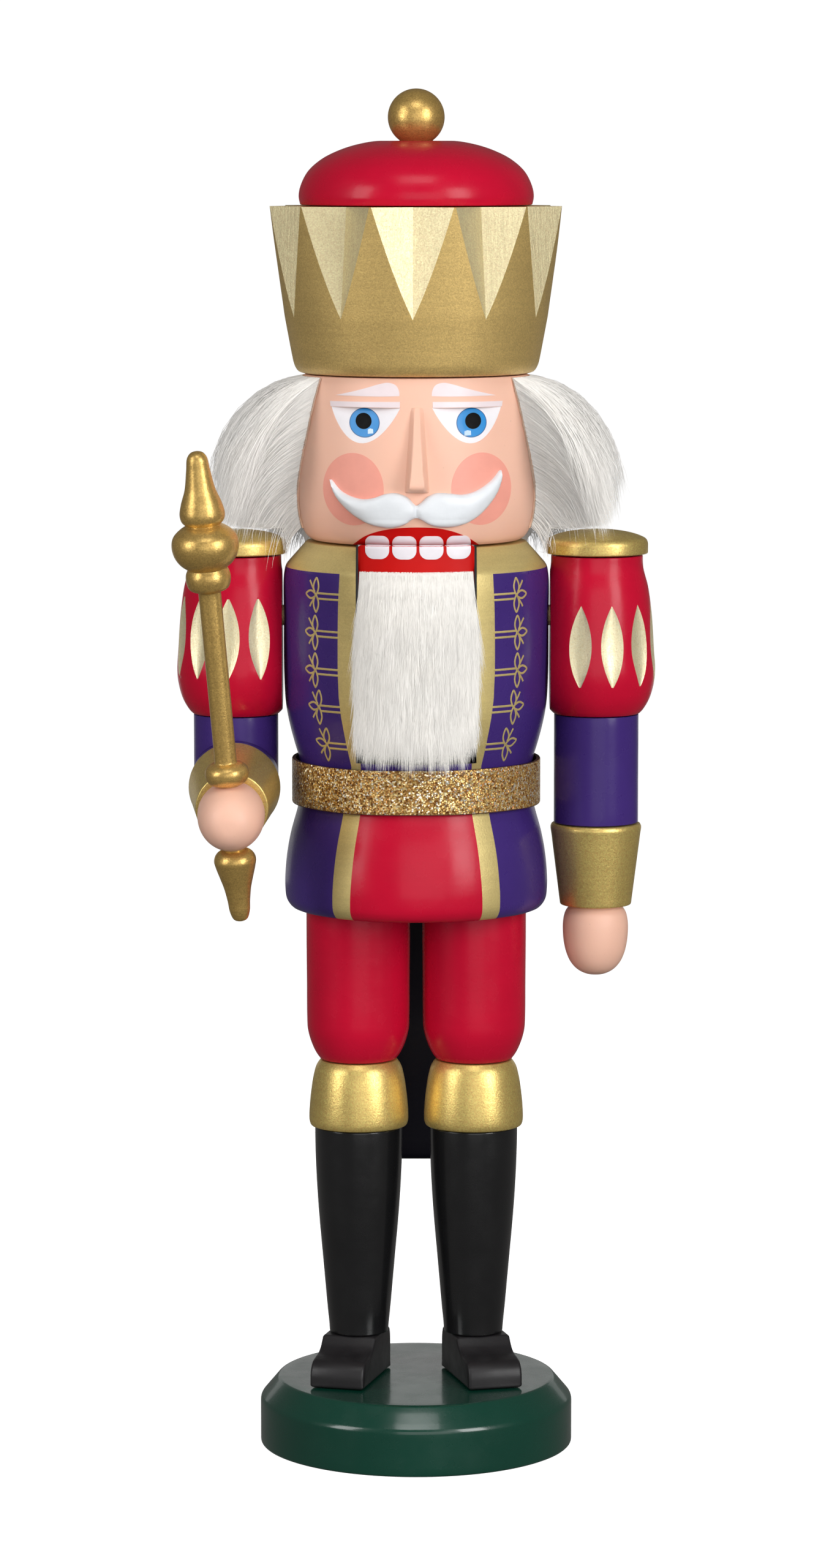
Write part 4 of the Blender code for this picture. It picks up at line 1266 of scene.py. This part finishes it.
def nose():
    """A wedge that widens downward, its flat ridge eased into the flanks."""
    stations = [
        # z, half width at the face, half width of the ridge, reach of the ridge
        (309.3, 2.0, 0.5, 34.2),
        (308.0, 2.1, 0.8, 34.9),
        (305.0, 2.3, 0.95, 36.0),
        (300.0, 2.6, 1.1, 37.2),
        (294.0, 3.0, 1.5, 38.9),
        (290.0, 3.25, 1.85, 40.1),
        (287.6, 3.4, 2.15, 40.8),
        (286.7, 3.5, 2.15, 40.7),
        (286.0, 3.55, 2.0, 40.1),
        (285.5, 3.6, 1.8, 39.0),
        (285.2, 3.6, 1.6, 37.4),
        (285.0, 3.5, 1.3, 35.6),
    ]
    zs = [s[0] for s in stations]
    bm = bmesh.new()
    rows = []
    levels = [z for a, b in zip(zs, zs[1:]) for z in (a, (a + b) / 2)] + [zs[-1]]
    for z in levels:
        vals = [float(np.interp(-z, [-q for q in zs], [st[k] for st in stations])) for k in (1, 2, 3)]
        base, ridge, reach = vals
        near = interp(HEAD_R, z) - 0.3
        row = []
        n = 20
        for k in range(n + 1):
            u = -1 + 2 * k / n
            x = base * u
            flank = (base - abs(x)) / max(base - ridge, 1e-3)
            rise = min(1.0, flank)
            edge = 1 - 0.16 * max(0.0, 1 - abs(rise - 1) / 0.25) if rise < 1 else 1
            rise = rise * (1 - 0.10 * rise) / 0.9 if rise < 1 else 1.0
            y = -sqrt(near * near - x * x) * (1 - rise) - reach * rise
            row.append(bm.verts.new((x + 0.2, y, z)))
        for k in range(7, 0, -1):
            x = base * (-1 + 2 * k / 8)
            row.append(bm.verts.new((x + 0.2, -sqrt((near - 1) ** 2 - x * x), z)))
        rows.append(row)
    m = len(rows[0])
    for a, b in zip(rows, rows[1:]):
        for k in range(m):
            bm.faces.new((a[k], a[(k + 1) % m], b[(k + 1) % m], b[k]))
    bm.faces.new(rows[0])
    bm.faces.new(list(reversed(rows[-1])))
    return to_object("nose_visual", bm, SKIN, 48)


place(nose(), "skin_paint", "nose")

MOUSTACHE_TOP = [(-23.9, 288.3), (-21.2, 285.3), (-18.0, 283.7), (-14.8, 283.1), (-11.6, 283.6), (-8.5, 284.7), (-5.4, 285.0), (-2.3, 283.9), (-0.4, 282.0), (0.3, 281.5)]
MOUSTACHE_TOP += [(1.4, 282.1), (3.4, 283.9), (5.9, 285.0), (9.6, 284.9), (13.4, 284.5), (16.5, 285.1), (19.7, 286.7), (22.2, 288.7), (24.1, 291.0)]
MOUSTACHE_LOW = [(24.4, 289.3), (23.9, 287.1), (22.9, 284.6), (20.3, 280.9), (17.2, 278.0), (13.4, 276.1), (9.6, 275.4), (6.5, 275.5), (4.0, 276.2), (1.8, 277.5), (0.4, 278.1)]
MOUSTACHE_LOW += [(-0.9, 277.6), (-2.6, 276.4), (-5.4, 275.4), (-8.5, 275.3), (-12.3, 276.0), (-15.4, 277.4), (-18.5, 279.5), (-21.7, 282.8), (-23.2, 285.5)]


def parting(x, z):
    """The two halves of the moustache part at a narrow groove under the nose."""
    d = abs(x - 0.05)
    return 0.10 + 0.70 * min(1.0, d / 1.1) if z > 277.0 else 0.55 + 0.45 * min(1.0, d / 1.1)


hairline = [(p[0] - 0.3, p[1]) for p in spline(MOUSTACHE_TOP, 0.35)] + [(p[0] - 0.3, p[1]) for p in spline(MOUSTACHE_LOW, 0.35)]
place(
    film("moustache_visual", [hairline], on_head, MOUSTACHE, 1.0, 0.3, 0.5, lambda d: 1.7 * sqrt(max(0.0, 1 - (1 - min(1.0, d / 3.4)) ** 2)), 50, parting),
    "moustache_paint",
    "moustache",
)

# ---------------------------------------------------------------- crown

CROWN_TOP, FOOT_Z, NOTCHES, CROWN_TURN = 366.2, 334.4, 11, radians(-1.5)


def cone_r(z):
    return 38.3 + (z - FOOT_Z) * (42.7 - 38.3) / (CROWN_TOP - FOOT_Z)


def crown():
    """A turned cone whose notches are plain sawn facets; mesh columns follow each facet's edge up the cone."""
    step = 2 * pi / NOTCHES
    valley_top, foot_r = 35.5, 38.3
    tip_half = radians(0.38)
    bm = bmesh.new()

    def edge_angle(z):
        """Where the facet through the valley line and the tip leaves the cone at height z."""
        t = (z - FOOT_Z) / (CROWN_TOP - FOOT_Z)
        if t <= 0:
            return 0.0
        foot = Vector((0, -foot_r, FOOT_Z))
        vt = Vector((0, -valley_top, CROWN_TOP))
        a = step / 2 - tip_half
        tip = Vector((cone_r(CROWN_TOP) * sin(a), -cone_r(CROWN_TOP) * cos(a), CROWN_TOP))
        n = (vt - foot).cross(tip - foot)
        lo, hi = 0.0, step / 2
        r = cone_r(z)
        f = lambda q: n.dot(Vector((r * sin(q), -r * cos(q), z)) - foot)
        s0 = f(0.0)
        for _ in range(40):
            mid = (lo + hi) / 2
            if f(mid) * s0 > 0:
                lo = mid
            else:
                hi = mid
        return lo

    facet, arc = 5, 8
    per = 2 * facet + arc
    levels = [FOOT_Z + (CROWN_TOP - FOOT_Z) * k / 20 for k in range(21)]
    rows = []
    for z in levels:
        e = edge_angle(z)
        t = (z - FOOT_Z) / (CROWN_TOP - FOOT_Z)
        vr = foot_r + (valley_top - foot_r) * t
        row = []
        for k in range(NOTCHES):
            base = CROWN_TURN + k * step
            v = Vector((vr * sin(base), -vr * cos(base), z))
            r = cone_r(z)
            right = Vector((r * sin(base + e), -r * cos(base + e), z))
            nxt = base + step
            v2 = Vector((vr * sin(nxt), -vr * cos(nxt), z))
            left2 = Vector((r * sin(nxt - e), -r * cos(nxt - e), z))
            for j in range(facet):
                row.append(v.lerp(right, j / facet))
            for j in range(arc):
                a = base + e + (step - 2 * e) * j / arc
                row.append(Vector((r * sin(a), -r * cos(a), z)))
            for j in range(facet):
                row.append(left2.lerp(v2, j / facet))
        rows.append(row)
    count = len(rows[0])
    skirt = profile([(38.3, FOOT_Z), (37.3, 329.0), (36.1, 322.7), (35.7, 320.9), (35.1, 319.4), (34.3, 318.4), (33.2, 318.0, 0.2), (0, 318.0)], 1.0)
    vrows = []
    for row in reversed(rows):
        vrows.append([bm.verts.new(p) for p in row])
    angles = [atan2(p.x, -p.y) for p in rows[0]]
    for r, z in skirt[1:]:
        if r < 1e-4:
            vrows.append([bm.verts.new((0, 0, z))])
        else:
            even = [CROWN_TURN + 2 * pi * (k // per) / NOTCHES + step * min(max((k % per) - facet, 0), arc) / arc for k in range(count)]
            vrows.append([bm.verts.new((r * sin(a), -r * cos(a), z)) for a in even])
    inner = 33.0
    top = [bm.verts.new((inner * sin(atan2(p.x, -p.y)), -inner * cos(atan2(p.x, -p.y)), CROWN_TOP)) for p in rows[-1]]
    hub = bm.verts.new((0, 0, CROWN_TOP))
    for i, (a, b) in enumerate(zip(vrows, vrows[1:])):
        for k in range(count):
            n = (k + 1) % count
            if len(b) == 1:
                quad = (a[k], b[0], a[n])
            else:
                quad = (a[k], b[k], b[n], a[n])
            f = bm.faces.new(quad)
            j = k % per
            f.material_index = 1 if i < 20 and (j < facet or j >= facet + arc) else 0
    for k in range(count):
        n = (k + 1) % count
        bm.faces.new((vrows[0][n], top[n], top[k], vrows[0][k]))
        bm.faces.new((top[n], hub, top[k]))
    return to_object("crown_visual", bm, [CROWN_GOLD, FACET_GOLD], 12, merge=2e-3)


place(crown(), "gold_paint", "crown")
place(
    lathe(
        "crown_cap_visual",
        [
            (0, 384.2),
            (4.2, 384.25),
            (5.6, 384.45),
            (10.5, 384.95),
            (16.8, 384.0),
            (22.5, 382.2),
            (27.6, 379.6),
            (31.5, 376.1),
            (33.6, 372.0),
            (34.15, 369.0),
            (33.7, 366.5, 0.4),
            (0, 366.5),
        ],
        CRIMSON,
        192,
    ),
    "crimson_lacquer",
    "crown_cap",
)
ball = [(0, 400.0)] + [(8.25 * sin(pi * k / 24), 391.75 + 8.25 * cos(pi * k / 24)) for k in range(1, 20)]
ball += [(4.35, 384.55), (3.6, 384.3, 0.1), (0, 384.3)]
place(lathe("crown_knob_visual", ball, STAFF_GOLD, 112, None, 0.6), "gold_paint", "crown_knob")

# ---------------------------------------------------------------- fur


def strands(name, paths, radius, facing, across, mats):
    """Hairs as closed three-sided spikes. paths is an array of strands, points and coordinates; radius tapers to the tip. facing is the way each hair is lit from, so that a coat of hairs shades as one soft form."""
    n, m, _ = paths.shape
    ahead = np.gradient(paths, axis=1)
    ahead /= np.maximum(np.linalg.norm(ahead, axis=2, keepdims=True), 1e-9)
    side = across[:, None] - ahead * (ahead * across[:, None]).sum(2, keepdims=True)
    side /= np.maximum(np.linalg.norm(side, axis=2, keepdims=True), 1e-9)
    up = np.cross(side, ahead)
    taper = np.interp(np.linspace(0, 1, m), [0, 0.25, 0.6, 1], [0.8, 1.0, 0.85, 0.25])
    spin = rng.uniform(0, 2 * pi, n)
    verts, lit = [], []
    lean = facing + rng.normal(0, 0.11, facing.shape)
    for k in range(m - 1):
        for j in range(3):
            a = spin + 2 * pi * j / 3
            off = side[:, k] * np.cos(a)[:, None] + up[:, k] * np.sin(a)[:, None]
            verts.append(paths[:, k] + off * (radius * taper[k])[:, None])
            lit.append(lean + 0.5 * off)
    verts.append(paths[:, m - 1])
    lit.append(lean)
    v = np.stack(verts, 1)
    lit = np.stack(lit, 1).reshape(-1, 3)
    lit /= np.linalg.norm(lit, axis=1, keepdims=True)
    per = v.shape[1]
    faces, one = [], []
    for k in range(m - 2):
        for j in range(3):
            a, b = 3 * k + j, 3 * k + (j + 1) % 3
            one += [(a, b + 3, b), (a, a + 3, b + 3)]
    tip = per - 1
    for j in range(3):
        one.append((3 * (m - 2) + (j + 1) % 3, 3 * (m - 2) + j, tip))
    one.append((0, 1, 2))
    one = np.array(one)
    f = (np.arange(n)[:, None, None] * per + one[None]).reshape(-1, 3)
    v = v.reshape(-1, 3) * MM
    mesh = bpy.data.meshes.new(name)
    mesh.vertices.add(len(v))
    mesh.vertices.foreach_set("co", v.astype(np.float32).ravel())
    mesh.loops.add(f.size)
    mesh.loops.foreach_set("vertex_index", f.astype(np.int32).ravel())
    mesh.polygons.add(len(f))
    mesh.polygons.foreach_set("loop_start", np.arange(0, f.size, 3, dtype=np.int32))
    mesh.polygons.foreach_set("loop_total", np.full(len(f), 3, dtype=np.int32))
    mesh.update(calc_edges=True)
    mesh.validate()
    mesh.materials.append(mats)
    mesh.shade_smooth()
    mesh.normals_split_custom_set_from_vertices(lit.tolist())
    ob = bpy.data.objects.new(name, mesh)
    scene.collection.objects.link(ob)
    return ob


def bezier(p0, p1, p2, p3, m):
    t = np.repeat(np.linspace(0, 1, m)[None, :], len(p0), 0)
    t[:, 1:-1] += rng.uniform(-0.42, 0.42, (len(p0), 1)) / (m - 1)
    t = t[:, :, None]
    return (1 - t) ** 3 * p0[:, None] + 3 * t * (1 - t) ** 2 * p1[:, None] + 3 * t * t * (1 - t) * p2[:, None] + t**3 * p3[:, None]


def front_edge(z):
    """The hair strip's front edge in degrees from straight ahead: it slants back toward the jaw."""
    return float(np.interp(z, [270, 286, 300, 317.5], [80.0, 76.5, 66.0, 56.5]))


def hair_tip(z0, reach, nape=0.0):
    """Where a hair rooted at height z0 ends, as radius and height; reach from 0 to 1 pushes it out. nape, 1 at the back, lets it hang lower."""
    r = float(np.interp(z0, [272, 278, 286, 300, 317], [41.0, 46.0, 51.5, 57.0, 59.0]))
    z = float(np.interp(z0, [272, 278, 286, 300, 317], [261.0, 264.5, 268.0, 275.0, 287.0]))
    r -= 7.0 * nape
    z -= 9.0 * nape * float(np.interp(z0, [274, 300], [1.0, 0.5]))
    return 35.2 + (r - 35.2) * reach, z0 + (z - z0) * reach


def hair_coat(name):
    """Strands combed out and down from the hide, round the sides and back of the head."""
    n = 5800
    z0 = 273.0 + 44.2 * rng.beta(1.25, 0.75, n)
    edge = np.radians([front_edge(z) for z in z0])
    u = rng.uniform(0, 1, n)
    fringe = 0.045 * rng.random(n) ** 1.5
    u = np.where(rng.random(n) < 0.30, np.where(rng.random(n) < 0.5, fringe, 1 - fringe), u)
    az = edge + (2 * pi - 2 * edge) * u
    back = np.sin((az - edge) / (2 * pi - 2 * edge) * pi)
    clump = np.floor(az * 14) + 57 * np.floor(z0 / 4.5)
    jit = np.random.default_rng(3).normal(0, 1, (6000, 3))
    cj = jit[(clump.astype(int) * 7919) % 6000]
    reach = np.clip(0.94 + 0.08 * rng.normal(0, 1, n) + 0.03 * cj[:, 0], 0.5, 1.09)
    nape = np.clip((-np.cos(az) - 0.55) / 0.35, 0, 1)
    tip = np.array([hair_tip(a, b, c) for a, b, c in zip(z0, reach, nape)])
    # Beside the jaw the lowest hair falls almost straight down
    fall = np.clip((292 - z0) / 16, 0, 1) * np.clip(1 - np.minimum(u, 1 - u) * (2 * pi) / radians(30), 0, 1)
    tip[:, 0] -= 2.0 * fall
    tip[:, 1] -= 4.5 * fall * rng.uniform(0.3, 1.0, n)
    # Near the face the fur leaves the hide almost straight sideways and spreads a little forward
    near = np.clip(1 - np.minimum(u, 1 - u) * (2 * pi) / radians(24), 0, 1)
    sign = np.where(u < 0.5, 1.0, -1.0)
    sweep = sign * (radians(4.0) * near) + 0.025 * cj[:, 1] + 0.055 * rng.normal(0, 1, n)
    az_tip = az + sweep
    r0 = np.array([interp(HEAD_R, z) for z in z0]) + 0.6

    def polar(r, a, z):
        return np.stack([r * np.sin(a), -r * np.cos(a), z], 1)

    p0 = polar(r0, az, z0)
    stray = rng.normal(0, 1, (n, 2)) * np.where(rng.random(n) < 0.16, 1.7, 0.5)[:, None]
    p3 = polar(tip[:, 0] + stray[:, 0], az_tip, tip[:, 1] + 0.5 * cj[:, 2] + stray[:, 1])
    out = tip[:, 0] - r0
    p1 = polar(r0 + out * (0.56 - 0.16 * near), az + sweep * 0.3, z0 + (tip[:, 1] - z0) * (0.04 + 0.12 * near))
    p2 = polar(r0 + out * (0.98 - 0.10 * near), az + sweep * 0.7, z0 + (tip[:, 1] - z0) * 0.48)
    paths = bezier(p0, p1, p2, p3, 7)
    paths += rng.normal(0, 0.12, paths.shape) * np.linspace(0, 1, 7)[None, :, None]
    # Hair lies over the shoulder caps
    for s in (1, -1):
        d = np.hypot(paths[..., 0] - s * ARM_X, paths[..., 1])
        rest = 272.9 + 1.6 * rng.random(n)[:, None]
        over = (d < 15.6) & (paths[..., 2] < rest)
        paths[..., 2] = np.where(over, rest, paths[..., 2])
    mid = np.hypot(paths[..., 0], paths[..., 1])
    low = (mid < 40.5) & (paths[..., 2] < 270.5)
    paths[..., 2] = np.where(low & (paths[..., 2] < 269.4 - np.maximum(mid - 32.1, 0) * 1.1), 269.4 - np.maximum(mid - 32.1, 0) * 1.1, paths[..., 2])
    facing = np.stack([np.sin(az), -np.cos(az), np.full(n, 0.45)], 1)
    front = np.clip(near, 0, 1)[:, None]
    facing = facing * (1 - 0.7 * front) + np.array([0, -1.0, 0.35]) * 0.7 * front
    across = np.stack([np.cos(az), np.sin(az), np.zeros(n)], 1)
    return strands(name, paths, rng.uniform(0.062, 0.112, n), facing, across, FUR)


def hair():
    """The soft body under the strands, and the hide."""
    bm = bmesh.new()
    cols, loops = 110, []
    section_u = np.linspace(0, 1, 18)
    for k in range(cols + 1):
        q = k / cols
        loop = []
        for z in np.linspace(316.6, 273.6, 16):
            e = radians(front_edge(z)) + 0.07
            a = e + (2 * pi - 2 * e) * q
            loop.append((interp(HEAD_R, z) + 0.25, a, z))
        outer = []
        for z in np.linspace(274.0, 316.8, 22):
            e = radians(front_edge(z)) + 0.07
            nearf = max(0.0, 1 - min(q, 1 - q) * 2 * pi / radians(20))
            sg = 1.0 if q < 0.5 else -1.0
            a = e + (2 * pi - 2 * e) * q + sg * radians(4.5) * nearf * 0.6
            r, zz = hair_tip(z, 0.72 - 0.30 * nearf**2, 0.8 * max(0.0, min(1.0, (-cos(a) - 0.55) / 0.35)))
            bump = 0.55 * sin(a * 47 + z * 0.9) * sin(a * 23 - z * 0.55) + 0.35 * sin(a * 91 + z * 1.7)
            if abs(r * cos(a)) < 16.5:
                zz = max(zz, 273.4)
            floor = 271.2 if cos(a) > -0.6 else 263.5 if r > 40.5 else 270.5
            outer.append((r + bump * (0.4 + 0.6 * (z - 274) / 41), a, max(zz, floor)))
        loops.append([bm.verts.new((r * sin(a), -r * cos(a), z)) for r, a, z in loop + outer])
    m = len(loops[0])
    for a, b in zip(loops, loops[1:]):
        for k in range(m):
            bm.faces.new((a[k], a[(k + 1) % m], b[(k + 1) % m], b[k]))
    bm.faces.new(loops[0])
    bm.faces.new(list(reversed(loops[-1])))
    body = to_object("hair_body", bm, FUR, 80)
    # The hide the hair grows from, its cut edge showing beside the face
    bm = bmesh.new()
    loops = []
    for k in range(121):
        q = k / 120
        loop = []
        for z in np.linspace(317.2, 273.0, 24):
            e = radians(front_edge(z))
            a = e + (2 * pi - 2 * e) * q + (0.010 * sin(z * 1.3) + 0.006 * sin(z * 3.1)) * (1 - 2 * q)
            loop.append((interp(HEAD_R, z) + 0.05, a, z))
        loops.append([bm.verts.new((r * sin(a), -r * cos(a), z)) for r, a, z in loop] + [bm.verts.new(((r + 0.45) * sin(a), -(r + 0.45) * cos(a), z)) for r, a, z in reversed(loop)])
    m = len(loops[0])
    for a, b in zip(loops, loops[1:]):
        for k in range(m):
            bm.faces.new((a[k], a[(k + 1) % m], b[(k + 1) % m], b[k]))
    bm.faces.new(loops[0])
    bm.faces.new(list(reversed(loops[-1])))
    hide = to_object("hair_hide", bm, HIDE, 50)
    return body, hide


hair_body, hair_hide = hair()
place(hair_coat("hair_coat_a"), "fur", "hair")
place(hair_coat("hair_coat_b"), "fur", "hair")
place(hair_coat("hair_coat_c"), "fur", "hair")
place(hair_coat("hair_coat_d"), "fur", "hair")
place(hair_body, "fur", "hair")
place(hair_hide, "fur", "hair")


BEARD_FAR = ([206.0, 212.0, 220.0, 230.0, 240.0, 248.0, 255.0, 259.0, 262.6], [46.2, 47.4, 48.4, 48.6, 47.9, 46.3, 43.4, 40.8, 37.9])
BEARD_NEAR = ([206.0, 216.0, 226.0, 262.0], [43.2, 40.8, 37.7, 36.3])


def beard_coat(name):
    """Fur glued to the jaw front, combed straight down over a swelling chest to a ragged edge above the belt."""
    n = 7800
    z0 = 262.3 - 42.0 * rng.beta(0.95, 1.1, n)
    z0 = np.where(rng.uniform(0, 1, n) < 0.10, 262.5 - rng.uniform(0, 1.2, n), z0)
    half = np.interp(z0, [218, 226, 240, 255, 262.4], [14.5, 16.4, 16.7, 16.5, 16.3])
    x0 = half * rng.uniform(-1, 1, n)
    clump = np.floor((x0 + 30) * 0.9) + 61 * np.floor(z0 / 6)
    jit = np.random.default_rng(5).normal(0, 1, (6000, 3))
    cj = jit[(clump.astype(int) * 7919) % 6000]
    low = 208.2 + 1.5 * rng.normal(0, 1, n) + 1.3 * cj[:, 1] + 0.010 * x0**2
    z3 = np.maximum(z0 - (17.0 + 6.0 * rng.random(n) + 1.2 * cj[:, 0]), low)
    drop = z0 - z3
    q = rng.uniform(0.90, 1.04, n)
    m = 5
    t = np.array([0.0, 0.10, 0.34, 0.66, 1.0])
    wander = 0.55 * cj[:, 2] + 0.75 * rng.normal(0, 1, n)
    paths = np.zeros((n, m, 3))
    for k in range(m):
        z = z0 - drop * t[k]
        x = x0 * (1 + 0.09 * t[k] * np.clip((262.5 - z) / 12, 0, 1)) + wander * t[k] ** 1.5
        far = np.interp(z, *BEARD_FAR)
        near = np.interp(z, *BEARD_NEAR)
        side = np.clip(np.abs(x) / 18.6, 0, 1)
        crest = near + (far - near) * (1 - 0.72 * side**2.6)
        rise = q * (0.55 + 0.45 * min(1.0, 7.0 * t[k])) + 0.03 * t[k] ** 2 * np.abs(cj[:, 0])
        r = near + (crest - near) * rise
        arc = 36.0 - np.sqrt(36.0**2 - np.clip(x, -18, 18) ** 2)
        paths[:, k] = np.stack([x, -r + arc * 0.9, z], 1)
    paths[:, 0, 1] = -np.sqrt(36.0**2 - x0**2) - 0.4
    paths[:, 2:] += rng.normal(0, 0.10, (n, m - 2, 3))
    r = np.hypot(paths[..., 0], paths[..., 1])
    need = np.interp(paths[..., 2], *BEARD_NEAR)
    paths[..., 1] *= np.where((r < need) & (np.abs(paths[..., 0]) < 19), need / np.maximum(r, 1), 1.0)
    facing = np.stack([x0 / 34.0, np.full(n, -1.0), np.interp(z0, [215, 240, 262], [0.05, 0.2, 0.45])], 1)
    return strands(name, paths, rng.uniform(0.066, 0.112, n), facing, np.tile([1.0, 0.0, 0.0], (n, 1)), BEARD_FUR)


def beard_body():
    """The dense under-fur, which keeps the beard closed between the strands."""
    bm = bmesh.new()
    zs = np.linspace(262.2, 214.0, 26)
    loops = []
    for z in zs:
        half = float(np.interp(z, [214, 222, 240, 255, 262.2], [12.8, 15.8, 17.0, 16.6, 16.0]))
        near = float(np.interp(z, *BEARD_NEAR))
        far = float(np.interp(z, *BEARD_FAR)) - 1.3 - 1.8 * max(0.0, min(1.0, (222 - z) / 8))
        loop = []
        m = 22
        for k in range(m + 1):
            x = half * (-1 + 2 * k / m)
            loop.append((x, -sqrt(near**2 - x * x), z))
        for k in range(m - 1, 0, -1):
            u = -1 + 2 * k / m
            x = half * u
            ripple = 0.16 * sin(x * 3.1 + z * 0.25) + 0.12 * sin(x * 7.3 - z * 0.4)
            loop.append((x, -sqrt(near**2 - x * x) - max(far - near, 0.8) * (1 - 0.75 * abs(u) ** 3) + ripple * (1 - u * u) * min(1, (262.2 - z) / 6), z))
        loops.append([bm.verts.new(p) for p in loop])
    m = len(loops[0])
    for a, b in zip(loops, loops[1:]):
        for k in range(m):
            bm.faces.new((a[k], a[(k + 1) % m], b[(k + 1) % m], b[k]))
    bm.faces.new(loops[0])
    bm.faces.new(list(reversed(loops[-1])))
    return to_object("beard_body", bm, FUR, 80)


place(beard_coat("beard_coat_a"), "fur", "beard", body="lever")
place(beard_coat("beard_coat_b"), "fur", "beard", body="lever")
place(beard_coat("beard_coat_c"), "fur", "beard", body="lever")
place(beard_body(), "fur", "beard", body="lever")

# ---------------------------------------------------------------- carried-over inner pieces

for node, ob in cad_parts.items():
    if node.endswith("_dowel") or node == "lever_pin":
        ob.data.materials.clear()
        ob.data.materials.append(STEEL if node == "lever_pin" else WOOD)

# ---------------------------------------------------------------- floor, light and camera


def sweep():
    """A pale studio sweep: flat under the figure, curving up far behind it."""
    bm = bmesh.new()
    w = 6.0
    path = [(-5.0, 0.0), (4.8, 0.0)] + [(4.8 + 1.4 * sin(radians(a)), 1.4 - 1.4 * cos(radians(a))) for a in range(6, 91, 6)] + [(6.2, 5.5)]
    rows = [[bm.verts.new((x, y, z)) for y, z in path] for x in (-w, w)]
    for k in range(len(path) - 1):
        bm.faces.new((rows[0][k], rows[1][k], rows[1][k + 1], rows[0][k + 1]))
    mesh = bpy.data.meshes.new("studio_sweep")
    bm.to_mesh(mesh)
    bm.free()
    mesh.shade_smooth()
    k = Look("sweep_white")
    tone = k.ramp(k.noise(3, 2), (0.3, (0.86, 0.86, 0.86)), (0.7, (0.9, 0.9, 0.9)))
    k.done(tone, 0.9, None, Emission_Color=(1, 1, 1, 1), Emission_Strength=0.9)
    mesh.materials.append(k.m)
    ob = bpy.data.objects.new("studio_sweep", mesh)
    ob.visible_diffuse = ob.visible_glossy = ob.visible_transmission = False
    scene.collection.objects.link(ob)


sweep()
world = bpy.data.worlds.new("studio") if scene.world is None else scene.world
scene.world = world
world.use_nodes = True
bg = world.node_tree.nodes.get("Background") or world.node_tree.nodes.new("ShaderNodeBackground")
bg.inputs["Color"].default_value = (1.0, 0.97, 0.94, 1)
bg.inputs["Strength"].default_value = 0.12


def softbox(name, at, target, size, power, colour=(1, 1, 1)):
    light = bpy.data.lights.new(name, "AREA")
    light.shape = "RECTANGLE"
    light.size, light.size_y = size
    light.energy = power
    light.color = colour
    ob = bpy.data.objects.new(name, light)
    ob.location = at
    ob.rotation_euler = (Vector(target) - Vector(at)).to_track_quat("-Z", "Y").to_euler()
    ob.visible_camera = False
    scene.collection.objects.link(ob)
    return ob


softbox("key", (1.15, -1.25, 0.70), (0, 0, 0.22), (0.6, 1.1), 17)
softbox("left", (-1.25, -0.85, 0.70), (0, 0, 0.22), (0.5, 1.1), 9)
softbox("top", (0.02, -0.85, 1.45), (0, 0, 0.25), (0.7, 0.4), 3.5)
softbox("front", (0.25, -2.5, 0.50), (0, 0, 0.2), (1.8, 1.5), 8.5)
softbox("fill", (0.25, -2.4, 0.42), (0, 0, 0.2), (1.8, 1.5), 15).visible_glossy = False
softbox("behind", (0.0, 0.55, 0.155), (0, 0, 0.05), (0.8, 0.14), 0.14)

cam = bpy.data.cameras.new("camera")
cam.lens, cam.sensor_width = 121.33, 36.0
cam.clip_start, cam.clip_end = 0.05, 30
cam_ob = bpy.data.objects.new("camera", cam)
cam_ob.location = (-0.00108, -1.5433, 0.3854)
cam_ob.rotation_euler = (radians(90 - 6.957), 0, 0)
scene.collection.objects.link(cam_ob)
scene.camera = cam_ob
scene.view_settings.view_transform = "Standard"
